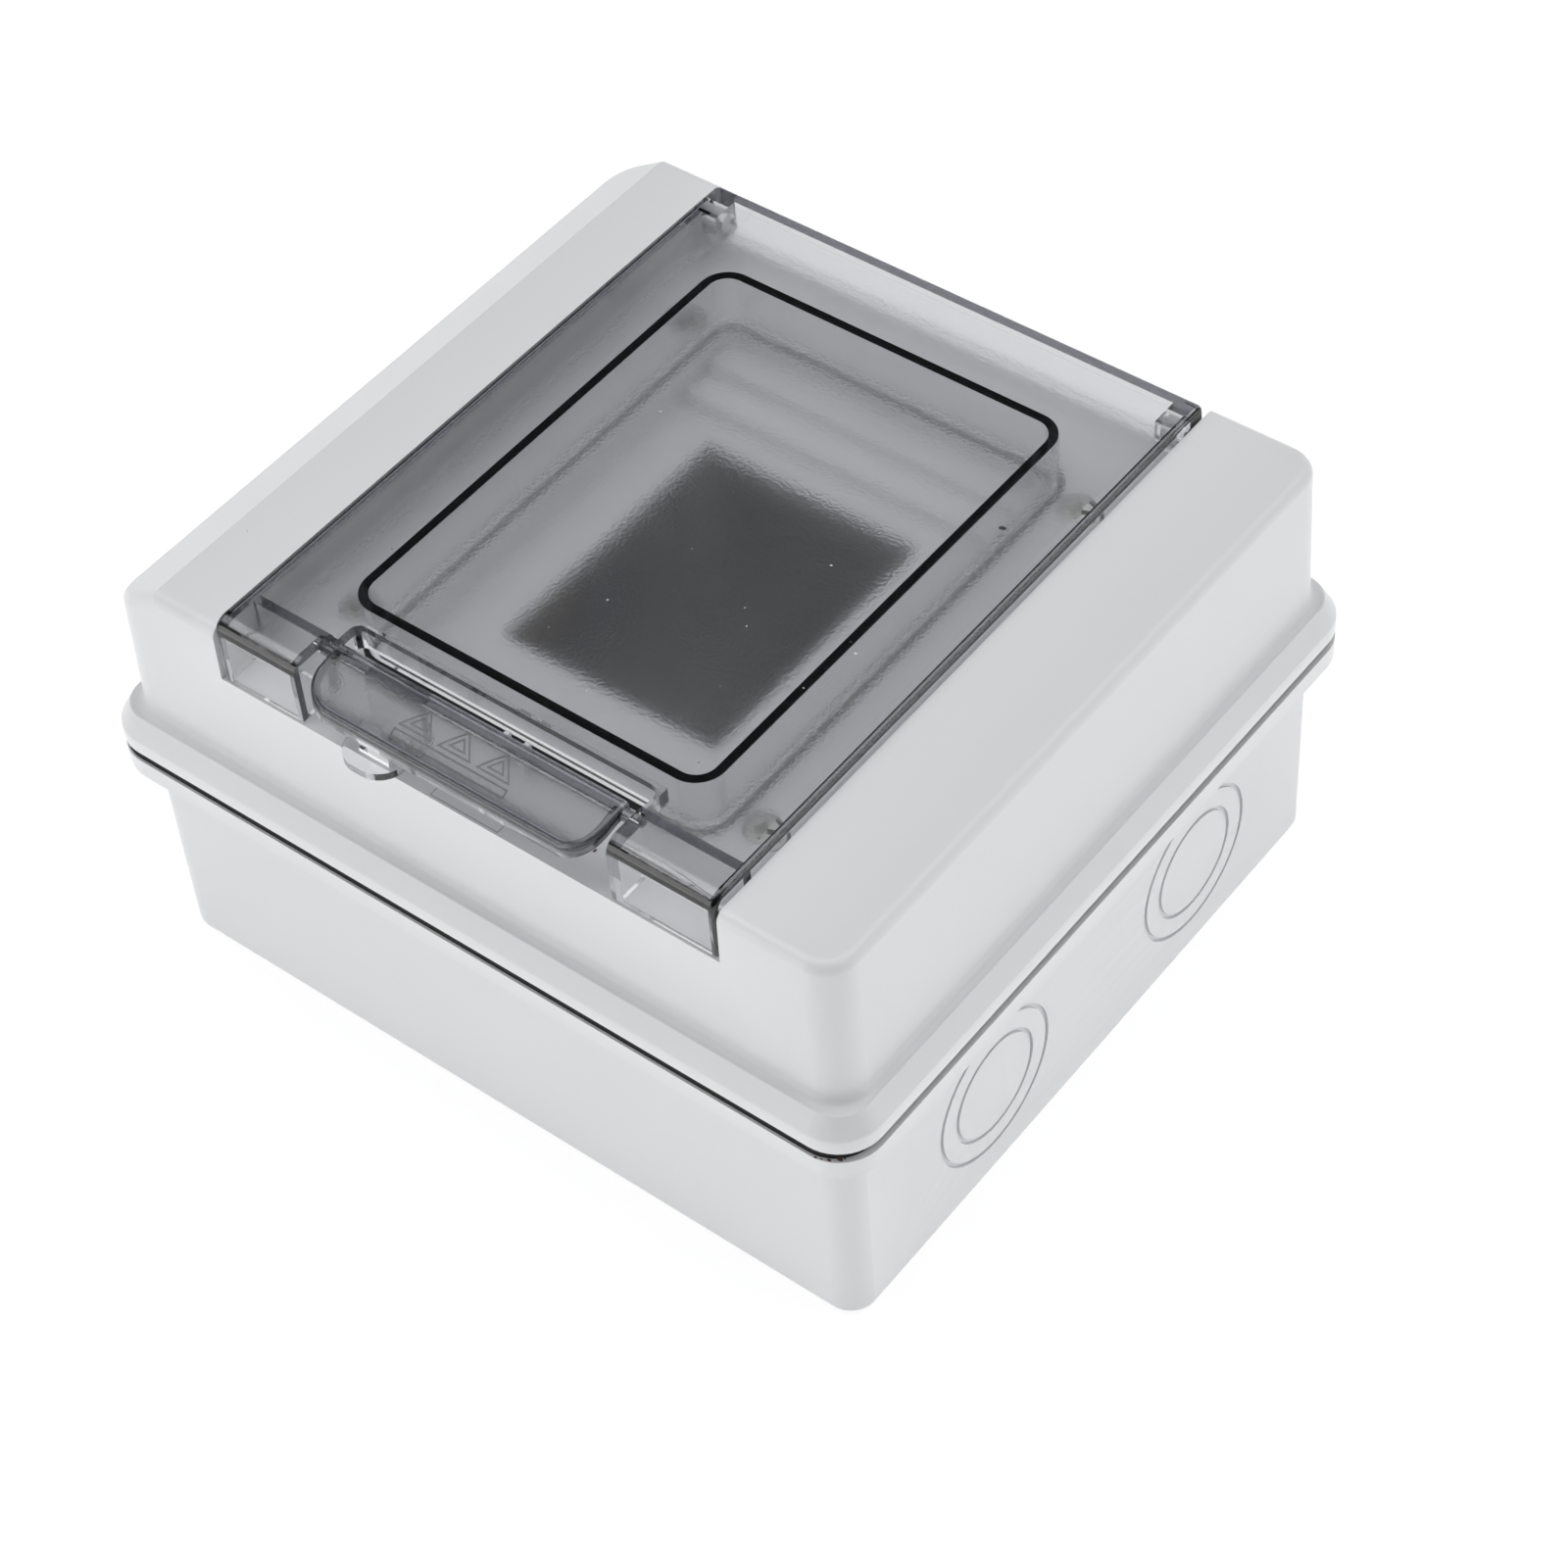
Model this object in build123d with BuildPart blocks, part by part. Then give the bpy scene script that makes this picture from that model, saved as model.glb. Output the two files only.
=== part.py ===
from build123d import *
from math import atan2, degrees
import os

# Surface-mount breaker box with a hinged smoky door, lying on its back.
# X runs along the latch side, Y towards the hinge, Z away from the wall.
# The origin is the middle of the back face.

# Overall sizes
flange_length = 160.4
flange_width = 144.2
box_height = 91.0

# Base: an upright tray with a flange that carries the seal
flange_overhang_x = 4.35
flange_overhang_y = 4.1
base_length = flange_length - 2 * flange_overhang_x
base_width = flange_width - 2 * flange_overhang_y
base_height = 48.2
base_corner = 5.0
base_bottom_round = 1.2
flange_corner = 8.2
flange_band = 4.0
flange_slope = 2.6
wall = 2.2
floor_thickness = 2.5

# Seam between the base and the cover
seam_gap = 2.2
seal_setback = 0.95
seal_shift_x = -0.45
seal_shift_y = -0.45
seal_width = 2.6
seal_groove_depth = 2.0
seal_side_clearance = 0.1

# Cable knockouts: two on each end wall, each with two scored rings
knockout_spacing = 59.0
knockout_height = 22.0
knockout_shift_y = 0.8
knockout_radii = [15.3, 10.9]
knockout_score_width = 0.9
knockout_score_depth = 0.5

# Holes for the screws into the wall
wall_hole_inset_x = 13.85
wall_hole_inset_y = 15.0
wall_hole_spacing_x = base_length - 2 * wall_hole_inset_x
wall_hole_spacing_y = base_width - 2 * wall_hole_inset_y
wall_hole_radius = 2.5
wall_collar_radius = 5.5
wall_collar_height = 4.0

# Cover shell
cover_sink = 2.4
lip_band = 2.9
lip_round = 0.9
skirt_rise = 3.8
skirt_inset = 2.2
skirt_round = 0.3
cove_radius = 1.6
cover_setback_x = 4.7
cover_setback_front = 4.9
cover_setback_back = 4.6
cover_length = flange_length - 2 * cover_setback_x
cover_front = flange_width / 2 - cover_setback_front
cover_back = flange_width / 2 - cover_setback_back
cover_top_inset = 0.7
cover_corner = 6.0
cover_edge_round = 2.0
bevel_crease_from_edge = 11.0
bevel_drop = 7.0
cover_wall = 2.2

# Door channel in the cover
door_length = 103.3
door_shift_x = 1.35
door_setback_front = 0.0
door_setback_back = 2.5
door_front = cover_front - door_setback_front
door_back = cover_back - door_setback_back
door_side_gap = 0.35
pan_depth = 13.5
pan_thickness = 2.4
cheek_thickness = 2.0

# Window: the ring under the door, its seal and the sunk device plate
window_shift_x = 0.3
ring_setback_x = 14.45
ring_setback_front = 17.1
ring_setback_back = 16.3
ring_length = door_length - 2 * ring_setback_x
ring_front = door_front - ring_setback_front
ring_back = door_back - ring_setback_back
ring_width = ring_front + ring_back
window_shift_y = (ring_back - ring_front) / 2
ring_corner = 5.5
ring_wall = 1.7
door_seal_overhang = 0.8
door_seal_groove_depth = 1.2
door_seal_stand = 0.5
door_seal_clearance = 0.35
recess_margin = 1.4
recess_depth = 5.5
plate_thickness = 2.0
opening_length = 45.5
opening_width = 55.5
opening_shift_y = -2.2
sill_tread = 6.8
sill_rise = 1.9
sill_steps = 2
sill_end_gap = 0.5

# Cover screws
cover_screw_beside_ring = 5.2
cover_screw_from_ring_end = 6.4
cover_screw_spacing_x = ring_length + 2 * cover_screw_beside_ring
cover_screw_spacing_y = ring_width - 2 * cover_screw_from_ring_end
screw_tube_radius = 4.4
screw_head_radius = 3.1
screw_head_height = 2.2
screw_head_clearance = 0.3
screw_shaft_radius = 1.5
screw_hole_clearance = 0.3
screw_bite = 14.0
screw_bore_clearance = 0.03
screw_seal_height = 0.8
screw_sink = 0.6

# Door hinge
hinge_inset = 4.0
hinge_drop = 5.5
pin_radius = 1.75
pin_fit = 0.05
pin_press = 0.02
pin_in_cover = 5.0
pin_in_door = 4.4
knuckle_radius = 3.3
knuckle_length = 5.0
pin_boss_radius = 2.95
pin_boss_wall = 1.0

# Door shell
door_plate = 2.2
door_wall = 1.8
door_skirt = 10.0
door_back_skirt = 11.7
door_front_round = 3.0
door_back_round = 1.5
door_side_round = 1.0
leg_clearance = 0.5
leg_depth = 9.7
latch_bay_length = 64.5
latch_bay_shift_x = -0.25
slot_width = 4.6
slot_length = 62.8
slot_shift_x = 0.9
slot_corner = 2.0
slot_rim_depth = 3.0
slot_rim_wall = 1.4

# Latch lever between the legs
lever_end_gap = 2.3
lever_reach = 11.2
lever_top_drop = 0.5
lever_fall = 3.6
lever_bulge = 1.2
lever_plate = 1.6
lever_rim = 2.1
lever_rim_wall = 1.5
lever_corner = 6.0
lever_top_round = 0.9
lever_pivot_inset = 1.3
lever_pivot_drop = 2.1
torsion_bar_radius = 1.1
torsion_bar_fit = 0.05
torsion_bar_bite = 1.3
tongue_length = 11.8
tongue_shift_x = -17.4
tongue_thickness = 1.5
tongue_clearance = 1.0
tongue_overhang = 3.7
tongue_corner = 5.0
tongue_hole_clearance = 0.9

# Catch post on the cover
post_length = 4.6
post_shift_x = -16.8
post_width = 3.8
post_height = 8.2
post_setback = 0.7
post_chamfer = 0.6
seal_wire_radius = 0.8
seal_wire_height = 5.6
guide_rib_count = 2
guide_rib_spacing = 4.2
guide_rib_thickness = 0.9
guide_rib_height = 7.0
guide_rib_depth = 2.0
guide_rib_x = 0.6

# DIN rail, top-hat section
rail_width = 35.0
rail_height = 7.5
rail_crown = 27.0
rail_sheet = 1.0
rail_past_ring = 2.6
rail_length = ring_width + 2 * rail_past_ring
rail_boss_inset = 10.0
rail_boss_spacing = rail_length - 2 * rail_boss_inset
rail_boss_radius = 4.5
rail_boss_height = 5.0
rail_slot_length = 6.0
rail_screw_head_radius = 3.4
rail_screw_head_height = 1.8
rail_screw_radius = 1.5
rail_screw_bite = 4.4

# Terminal bars on their carriers
bar_setback = 15.85
bar_offset_x = base_length / 2 - bar_setback
bar_length = 52.0
bar_width = 6.0
bar_height = 8.0
bar_ways = 7
bar_way_pitch = 6.5
wire_hole_radius = 1.9
terminal_screw_radius = 1.6
terminal_screw_head_height = 1.6
terminal_screw_length = 4.2
carrier_length = 68.0
carrier_width = 11.0
carrier_foot = 3.0
carrier_height = 11.0
carrier_cheek = 1.5
carrier_screw_inset = 3.5
carrier_screw_spacing = carrier_length - 2 * carrier_screw_inset
carrier_screw_radius = 1.4
carrier_screw_head_radius = 2.6
carrier_screw_head_height = 1.6
carrier_screw_bite = 3.0
carrier_boss_radius = 3.4
carrier_boss_height = 4.0

# How far a cut runs past the face it opens, and a bore past the tip of its screw
cut_past = 1.0
bore_spare = 0.5

# The smallest corner that a ring's inside may have, and half the height of the band
# in which a level face is looked for
least_corner = 0.5
level_band = 0.01

# Levels and places that follow from the sizes above
lip_z = base_height + seam_gap
skirt_z = lip_z + lip_band
shelf_z = skirt_z + skirt_rise
cover_top = box_height - cover_sink
pan_z = box_height - pan_depth
recess_z = pan_z - recess_depth
plate_bottom_z = recess_z - plate_thickness
channel_length = door_length + 2 * door_side_gap
door_plate_bottom = box_height - door_plate
hinge_y = door_back - hinge_inset
hinge_z = box_height - hinge_drop
door_middle_y = (door_back - door_front) / 2
leg_bottom = pan_z + leg_clearance
leg_rear = -door_front + leg_depth
slot_back = leg_rear + slot_width - door_wall / 2
lever_rear = slot_back - slot_width
lever_length = latch_bay_length - 2 * lever_end_gap
pivot_y = lever_rear - lever_pivot_inset
pivot_z = box_height - lever_pivot_drop
tongue_bottom = pan_z + tongue_clearance
tongue_front = -cover_front - tongue_overhang
post_y = -cover_front + post_setback + post_width / 2
seal_ring_z = base_height - seal_groove_depth
cover_screw_spots = [
    (window_shift_x + sx * cover_screw_spacing_x / 2, sy * cover_screw_spacing_y / 2)
    for sx in (-1, 1)
    for sy in (-1, 1)
]
bar_way_spots = [(i - (bar_ways - 1) / 2) * bar_way_pitch for i in range(bar_ways)]
rail_z = floor_thickness + rail_boss_height
carrier_z = floor_thickness + carrier_boss_height
bar_z = carrier_z + carrier_foot


def ring(length, width, corner, wall_width):
    """Closed rounded band, drawn in the current sketch."""
    RectangleRounded(length, width, corner)
    inner_corner = max(corner - wall_width, least_corner)
    RectangleRounded(
        length - 2 * wall_width, width - 2 * wall_width, inner_corner, mode=Mode.SUBTRACT
    )


def finish(builder, name):
    """Label a finished piece and write its file."""
    builder.part.label = name
    export_step(builder.part, "parts/" + name + ".step")


os.makedirs("parts", exist_ok=True)

# Base tray
with BuildPart() as base:
    with BuildSketch():
        RectangleRounded(base_length, base_width, base_corner)
    extrude(amount=base_height)
    fillet(base.faces().sort_by(Axis.Z)[0].edges(), base_bottom_round)

    # Flange: a sloped underside below a plain band
    band_z = base_height - flange_band
    with BuildSketch(Plane.XY.offset(band_z - flange_slope)):
        RectangleRounded(base_length, base_width, base_corner)
    with BuildSketch(Plane.XY.offset(band_z)):
        RectangleRounded(flange_length, flange_width, flange_corner)
    loft()
    with BuildSketch(Plane.XY.offset(band_z)):
        RectangleRounded(flange_length, flange_width, flange_corner)
    extrude(amount=flange_band)

    # Room inside
    with BuildSketch(Plane.XY.offset(floor_thickness)):
        RectangleRounded(base_length - 2 * wall, base_width - 2 * wall, base_corner - wall)
    extrude(amount=base_height, mode=Mode.SUBTRACT)

    # Seal groove round the rim
    with BuildSketch(Plane.XY.offset(seal_ring_z)):
        with Locations((seal_shift_x, seal_shift_y)):
            ring(
                flange_length - 2 * seal_setback,
                flange_width - 2 * seal_setback,
                flange_corner - seal_setback,
                seal_width,
            )
    extrude(amount=seal_groove_depth, mode=Mode.SUBTRACT)

    # Scored knockouts on both end walls
    for side in (-1, 1):
        end_face = Plane(
            origin=(side * base_length / 2, knockout_shift_y, knockout_height),
            x_dir=(0, side, 0),
            z_dir=(side, 0, 0),
        )
        with BuildSketch(end_face):
            with GridLocations(knockout_spacing, 1, 2, 1):
                for radius in knockout_radii:
                    Circle(radius)
                    Circle(radius - knockout_score_width, mode=Mode.SUBTRACT)
        extrude(amount=-knockout_score_depth, mode=Mode.SUBTRACT)

    # Posts for the cover screws
    with BuildSketch(Plane.XY.offset(floor_thickness)):
        with Locations(*cover_screw_spots):
            Circle(screw_tube_radius)
    extrude(amount=base_height - floor_thickness)
    with Locations(Plane.XY.offset(base_height)):
        with Locations(*cover_screw_spots):
            Hole(screw_shaft_radius + screw_bore_clearance, depth=screw_bite + bore_spare)

    # Bosses for the rail and the terminal bars
    with BuildSketch(Plane.XY.offset(floor_thickness)):
        with GridLocations(1, rail_boss_spacing, 1, 2):
            with Locations((window_shift_x, 0)):
                Circle(rail_boss_radius)
    extrude(amount=rail_boss_height)
    with Locations((window_shift_x, 0, rail_z)):
        with GridLocations(1, rail_boss_spacing, 1, 2):
            Hole(rail_screw_radius + screw_bore_clearance, depth=rail_screw_bite + bore_spare)
    with BuildSketch(Plane.XY.offset(floor_thickness)):
        with GridLocations(2 * bar_offset_x, carrier_screw_spacing, 2, 2):
            Circle(carrier_boss_radius)
    extrude(amount=carrier_boss_height)
    with Locations((0, 0, carrier_z)):
        with GridLocations(2 * bar_offset_x, carrier_screw_spacing, 2, 2):
            Hole(carrier_screw_radius + screw_bore_clearance, depth=carrier_screw_bite + bore_spare)

    # Collared holes for the wall screws
    with BuildSketch(Plane.XY.offset(floor_thickness)):
        with GridLocations(wall_hole_spacing_x, wall_hole_spacing_y, 2, 2):
            Circle(wall_collar_radius)
    extrude(amount=wall_collar_height)
    with Locations((0, 0, floor_thickness + wall_collar_height)):
        with GridLocations(wall_hole_spacing_x, wall_hole_spacing_y, 2, 2):
            Hole(wall_hole_radius, depth=floor_thickness + wall_collar_height)
finish(base, "base")

# Seal between the base and the cover, seated in the groove and met by the lip
with BuildPart() as cover_gasket:
    seal_inset = seal_setback + seal_side_clearance
    with BuildSketch(Plane.XY.offset(seal_ring_z)):
        with Locations((seal_shift_x, seal_shift_y)):
            ring(
                flange_length - 2 * seal_inset,
                flange_width - 2 * seal_inset,
                flange_corner - seal_inset,
                seal_width - 2 * seal_side_clearance,
            )
    extrude(amount=seal_groove_depth + seam_gap)
finish(cover_gasket, "cover_gasket")


def cover_outline(level, inset):
    """One level of the drafted cover body, set in by the wall thickness."""
    rise = (cover_top - level) / (cover_top - shelf_z)
    length = cover_length + 2 * cover_top_inset * rise
    front = cover_front + cover_top_inset * rise
    back = cover_back + cover_top_inset * rise
    with Locations((0, (back - front) / 2)):
        RectangleRounded(length - 2 * inset, front + back - 2 * inset, cover_corner - inset / 2)


def bevel_wedge(inset):
    """Triangle above the sloped strip on the left of the cover, seen from the front."""
    slope = bevel_drop / bevel_crease_from_edge
    crease_x = -cover_length / 2 + bevel_crease_from_edge
    reach = 2 * bevel_crease_from_edge
    Polygon(
        (crease_x, cover_top - inset),
        (crease_x, cover_top + reach),
        (crease_x - reach, cover_top + reach),
        (crease_x - reach, cover_top - inset - reach * slope),
        align=None,
    )


def slab(x_range, y_range, z_range):
    """Square-edged block between three pairs of limits, added to the current part."""
    with Locations((sum(x_range) / 2, sum(y_range) / 2, z_range[0])):
        Box(
            x_range[1] - x_range[0],
            y_range[1] - y_range[0],
            z_range[1] - z_range[0],
            align=(Align.CENTER, Align.CENTER, Align.MIN),
        )


def pocket(x_range, y_range, z_range):
    """The same block taken away from the current part."""
    with Locations((sum(x_range) / 2, sum(y_range) / 2, z_range[0])):
        Box(
            x_range[1] - x_range[0],
            y_range[1] - y_range[0],
            z_range[1] - z_range[0],
            align=(Align.CENTER, Align.CENTER, Align.MIN),
            mode=Mode.SUBTRACT,
        )


def span(middle, length):
    """Lower and upper limit of a length about its middle."""
    return (middle - length / 2, middle + length / 2)


channel_x = span(door_shift_x, channel_length)
block_y = (-cover_front + cover_wall / 2, cover_back - cover_wall / 2)

# Cover shell: outer form
with BuildPart() as front_cover:
    with BuildSketch(Plane.XY.offset(lip_z)):
        RectangleRounded(flange_length, flange_width, flange_corner)
    extrude(amount=lip_band)
    with BuildSketch(Plane.XY.offset(skirt_z)):
        RectangleRounded(flange_length, flange_width, flange_corner)
    with BuildSketch(Plane.XY.offset(shelf_z)):
        RectangleRounded(
            flange_length - 2 * skirt_inset,
            flange_width - 2 * skirt_inset,
            flange_corner - skirt_inset,
        )
    loft()
    with BuildSketch(Plane.XY.offset(lip_z)):
        cover_outline(lip_z, 0)
    with BuildSketch(Plane.XY.offset(cover_top)):
        cover_outline(cover_top, 0)
    loft()
    with BuildSketch(Plane.XZ.offset(-flange_width)):
        bevel_wedge(0)
    extrude(amount=2 * flange_width, mode=Mode.SUBTRACT)

    shelf = front_cover.faces().filter_by_position(Axis.Z, shelf_z - level_band, shelf_z + level_band)[0]
    fillet(shelf.inner_wires()[0].edges(), cove_radius)
    shelf = front_cover.faces().filter_by_position(Axis.Z, shelf_z - level_band, shelf_z + level_band)[0]
    fillet(shelf.outer_wire().edges(), skirt_round)
    lip_edge = front_cover.edges().filter_by_position(Axis.Z, skirt_z - level_band, skirt_z + level_band)
    fillet(lip_edge, lip_round)
    crown = front_cover.faces().sort_by(Axis.Z)[-1]
    bevel = front_cover.faces().sort_by(Axis.Z)[-2]
    crease = [e for e in crown.edges() if any(e.is_same(other) for other in bevel.edges())]
    rim_edges = [e for e in crown.edges() + bevel.edges() if not any(e.is_same(c) for c in crease)]
    fillet(rim_edges, cover_edge_round)

    # Room inside the shell
    with BuildPart(mode=Mode.PRIVATE) as cover_room:
        with BuildSketch(Plane.XY.offset(lip_z)):
            cover_outline(lip_z, cover_wall)
        with BuildSketch(Plane.XY.offset(cover_top - cover_wall)):
            cover_outline(cover_top - cover_wall, cover_wall)
        loft()
        with BuildSketch(Plane.XZ.offset(-flange_width)):
            bevel_wedge(cover_wall)
        extrude(amount=2 * flange_width, mode=Mode.SUBTRACT)
    add(cover_room.part, mode=Mode.SUBTRACT)

    # Door channel: a pan between two cheeks, open at the latch and hinge ends
    cheek_x = span(door_shift_x, channel_length + 2 * cheek_thickness)
    slab(cheek_x, block_y, (pan_z - pan_thickness, cover_top - cover_wall / 2))
    for side in (-1, 1):
        pin_root = door_shift_x + side * channel_length / 2
        with Locations(Plane((pin_root, hinge_y, hinge_z), z_dir=(side, 0, 0))):
            Cylinder(
                pin_boss_radius,
                pin_in_cover + pin_boss_wall,
                align=(Align.CENTER, Align.CENTER, Align.MIN),
            )

    # Sunk device plate inside the window
    recess_length = ring_length - 2 * (ring_wall + door_seal_overhang + recess_margin)
    recess_width = ring_width - 2 * (ring_wall + door_seal_overhang + recess_margin)
    with BuildSketch(Plane.XY.offset(plate_bottom_z)):
        with Locations((window_shift_x, window_shift_y)):
            RectangleRounded(
                recess_length + 2 * plate_thickness,
                recess_width + 2 * plate_thickness,
                ring_corner,
            )
    extrude(amount=pan_z - plate_bottom_z)

    # Tubes for the cover screws
    with BuildSketch(Plane.XY.offset(base_height)):
        with Locations(*cover_screw_spots):
            Circle(screw_tube_radius)
    extrude(amount=pan_z - base_height)

    pocket(channel_x, (-flange_width, flange_width), (pan_z, box_height + cut_past))
    with BuildSketch(Plane.XY.offset(recess_z)):
        with Locations((window_shift_x, window_shift_y)):
            RectangleRounded(recess_length, recess_width, ring_corner - ring_wall)
    extrude(amount=recess_depth + cut_past, mode=Mode.SUBTRACT)

    # Stepped sill at the hinge end of the plate
    recess_back = window_shift_y + recess_width / 2
    for step in range(sill_steps):
        step_front = recess_back - (sill_steps - step) * sill_tread
        step_z = recess_z + (step + 1) * sill_rise
        step_x = span(window_shift_x, recess_length - 2 * sill_end_gap)
        slab(step_x, (step_front, recess_back), (recess_z, step_z))

    # Opening for the breakers
    pocket(
        span(window_shift_x, opening_length),
        span(window_shift_y + opening_shift_y, opening_width),
        (plate_bottom_z - cut_past, pan_z),
    )

    # Groove for the window seal
    with BuildSketch(Plane.XY.offset(pan_z - door_seal_groove_depth)):
        with Locations((window_shift_x, window_shift_y)):
            ring(
                ring_length + 2 * door_seal_overhang,
                ring_width + 2 * door_seal_overhang,
                ring_corner + door_seal_overhang,
                ring_wall + 2 * door_seal_overhang,
            )
    extrude(amount=door_seal_groove_depth, mode=Mode.SUBTRACT)

    # Screw holes down the tubes, sunk for the heads
    with Locations(Plane.XY.offset(pan_z)):
        with Locations(*cover_screw_spots):
            CounterBoreHole(
                screw_shaft_radius + screw_hole_clearance,
                screw_head_radius + screw_head_clearance,
                screw_sink + screw_head_height + screw_seal_height,
                depth=pan_z,
            )

    # Bores for the hinge pins
    for side in (-1, 1):
        pin_root = door_shift_x + side * channel_length / 2
        with Locations(Plane((pin_root, hinge_y, hinge_z), z_dir=(side, 0, 0))):
            Cylinder(
                pin_radius + pin_press,
                pin_in_cover,
                align=(Align.CENTER, Align.CENTER, Align.MIN),
                mode=Mode.SUBTRACT,
            )

    # Catch post that stands through the latch tongue, with a hole for a seal wire
    with BuildSketch(Plane.XY.offset(pan_z)):
        with Locations((post_shift_x, post_y)):
            Rectangle(post_length, post_width)
    extrude(amount=post_height)
    post_top = front_cover.faces().filter_by_position(
        Axis.Z, pan_z + post_height - level_band, pan_z + post_height + level_band
    )[0]
    chamfer(post_top.edges(), post_chamfer)
    with Locations(Plane((post_shift_x, post_y, pan_z + seal_wire_height), z_dir=(1, 0, 0))):
        Cylinder(seal_wire_radius, 2 * post_length, mode=Mode.SUBTRACT)

    # Guide ribs below the slot in the door
    for i in range(guide_rib_count):
        rib_x = guide_rib_x + i * guide_rib_spacing
        slab(
            span(rib_x, guide_rib_thickness),
            (slot_back - guide_rib_depth, slot_back),
            (pan_z, pan_z + guide_rib_height),
        )
finish(front_cover, "front_cover")

# Seal under the window ring
with BuildPart() as door_gasket:
    with BuildSketch(Plane.XY.offset(pan_z - door_seal_groove_depth)):
        with Locations((window_shift_x, window_shift_y)):
            gasket_out = door_seal_overhang - seal_side_clearance
            ring(
                ring_length + 2 * gasket_out,
                ring_width + 2 * gasket_out,
                ring_corner + gasket_out,
                ring_wall + 2 * gasket_out,
            )
    extrude(amount=door_seal_groove_depth + door_seal_stand)
finish(door_gasket, "door_gasket")

# Cover screws: pan heads with a plain shank each
head_seat_z = pan_z - screw_sink - screw_head_height
with BuildPart() as cover_screws:
    with BuildSketch(Plane.XY.offset(head_seat_z)):
        with Locations(*cover_screw_spots):
            Circle(screw_head_radius)
    extrude(amount=screw_head_height)
    with BuildSketch(Plane.XY.offset(base_height - screw_bite)):
        with Locations(*cover_screw_spots):
            Circle(screw_shaft_radius)
    extrude(amount=head_seat_z - base_height + screw_bite)
finish(cover_screws, "cover_screws")

# Rubber rings under the heads
with BuildPart() as screw_seals:
    with BuildSketch(Plane.XY.offset(head_seat_z - screw_seal_height)):
        with Locations(*cover_screw_spots):
            Circle(screw_head_radius)
            Circle(screw_shaft_radius + screw_bore_clearance, mode=Mode.SUBTRACT)
    extrude(amount=screw_seal_height)
finish(screw_seals, "screw_seals")

# Hinge pins, pressed into the cheeks
for side, side_name in ((-1, "left"), (1, "right")):
    with BuildPart() as hinge_pin:
        pin_end = door_shift_x + side * (channel_length / 2 + pin_in_cover)
        with Locations(Plane((pin_end, hinge_y, hinge_z), z_dir=(-side, 0, 0))):
            Cylinder(
                pin_radius,
                pin_in_cover + door_side_gap + pin_in_door,
                align=(Align.CENTER, Align.CENTER, Align.MIN),
            )
    finish(hinge_pin, "hinge_pin_" + side_name)

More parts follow.
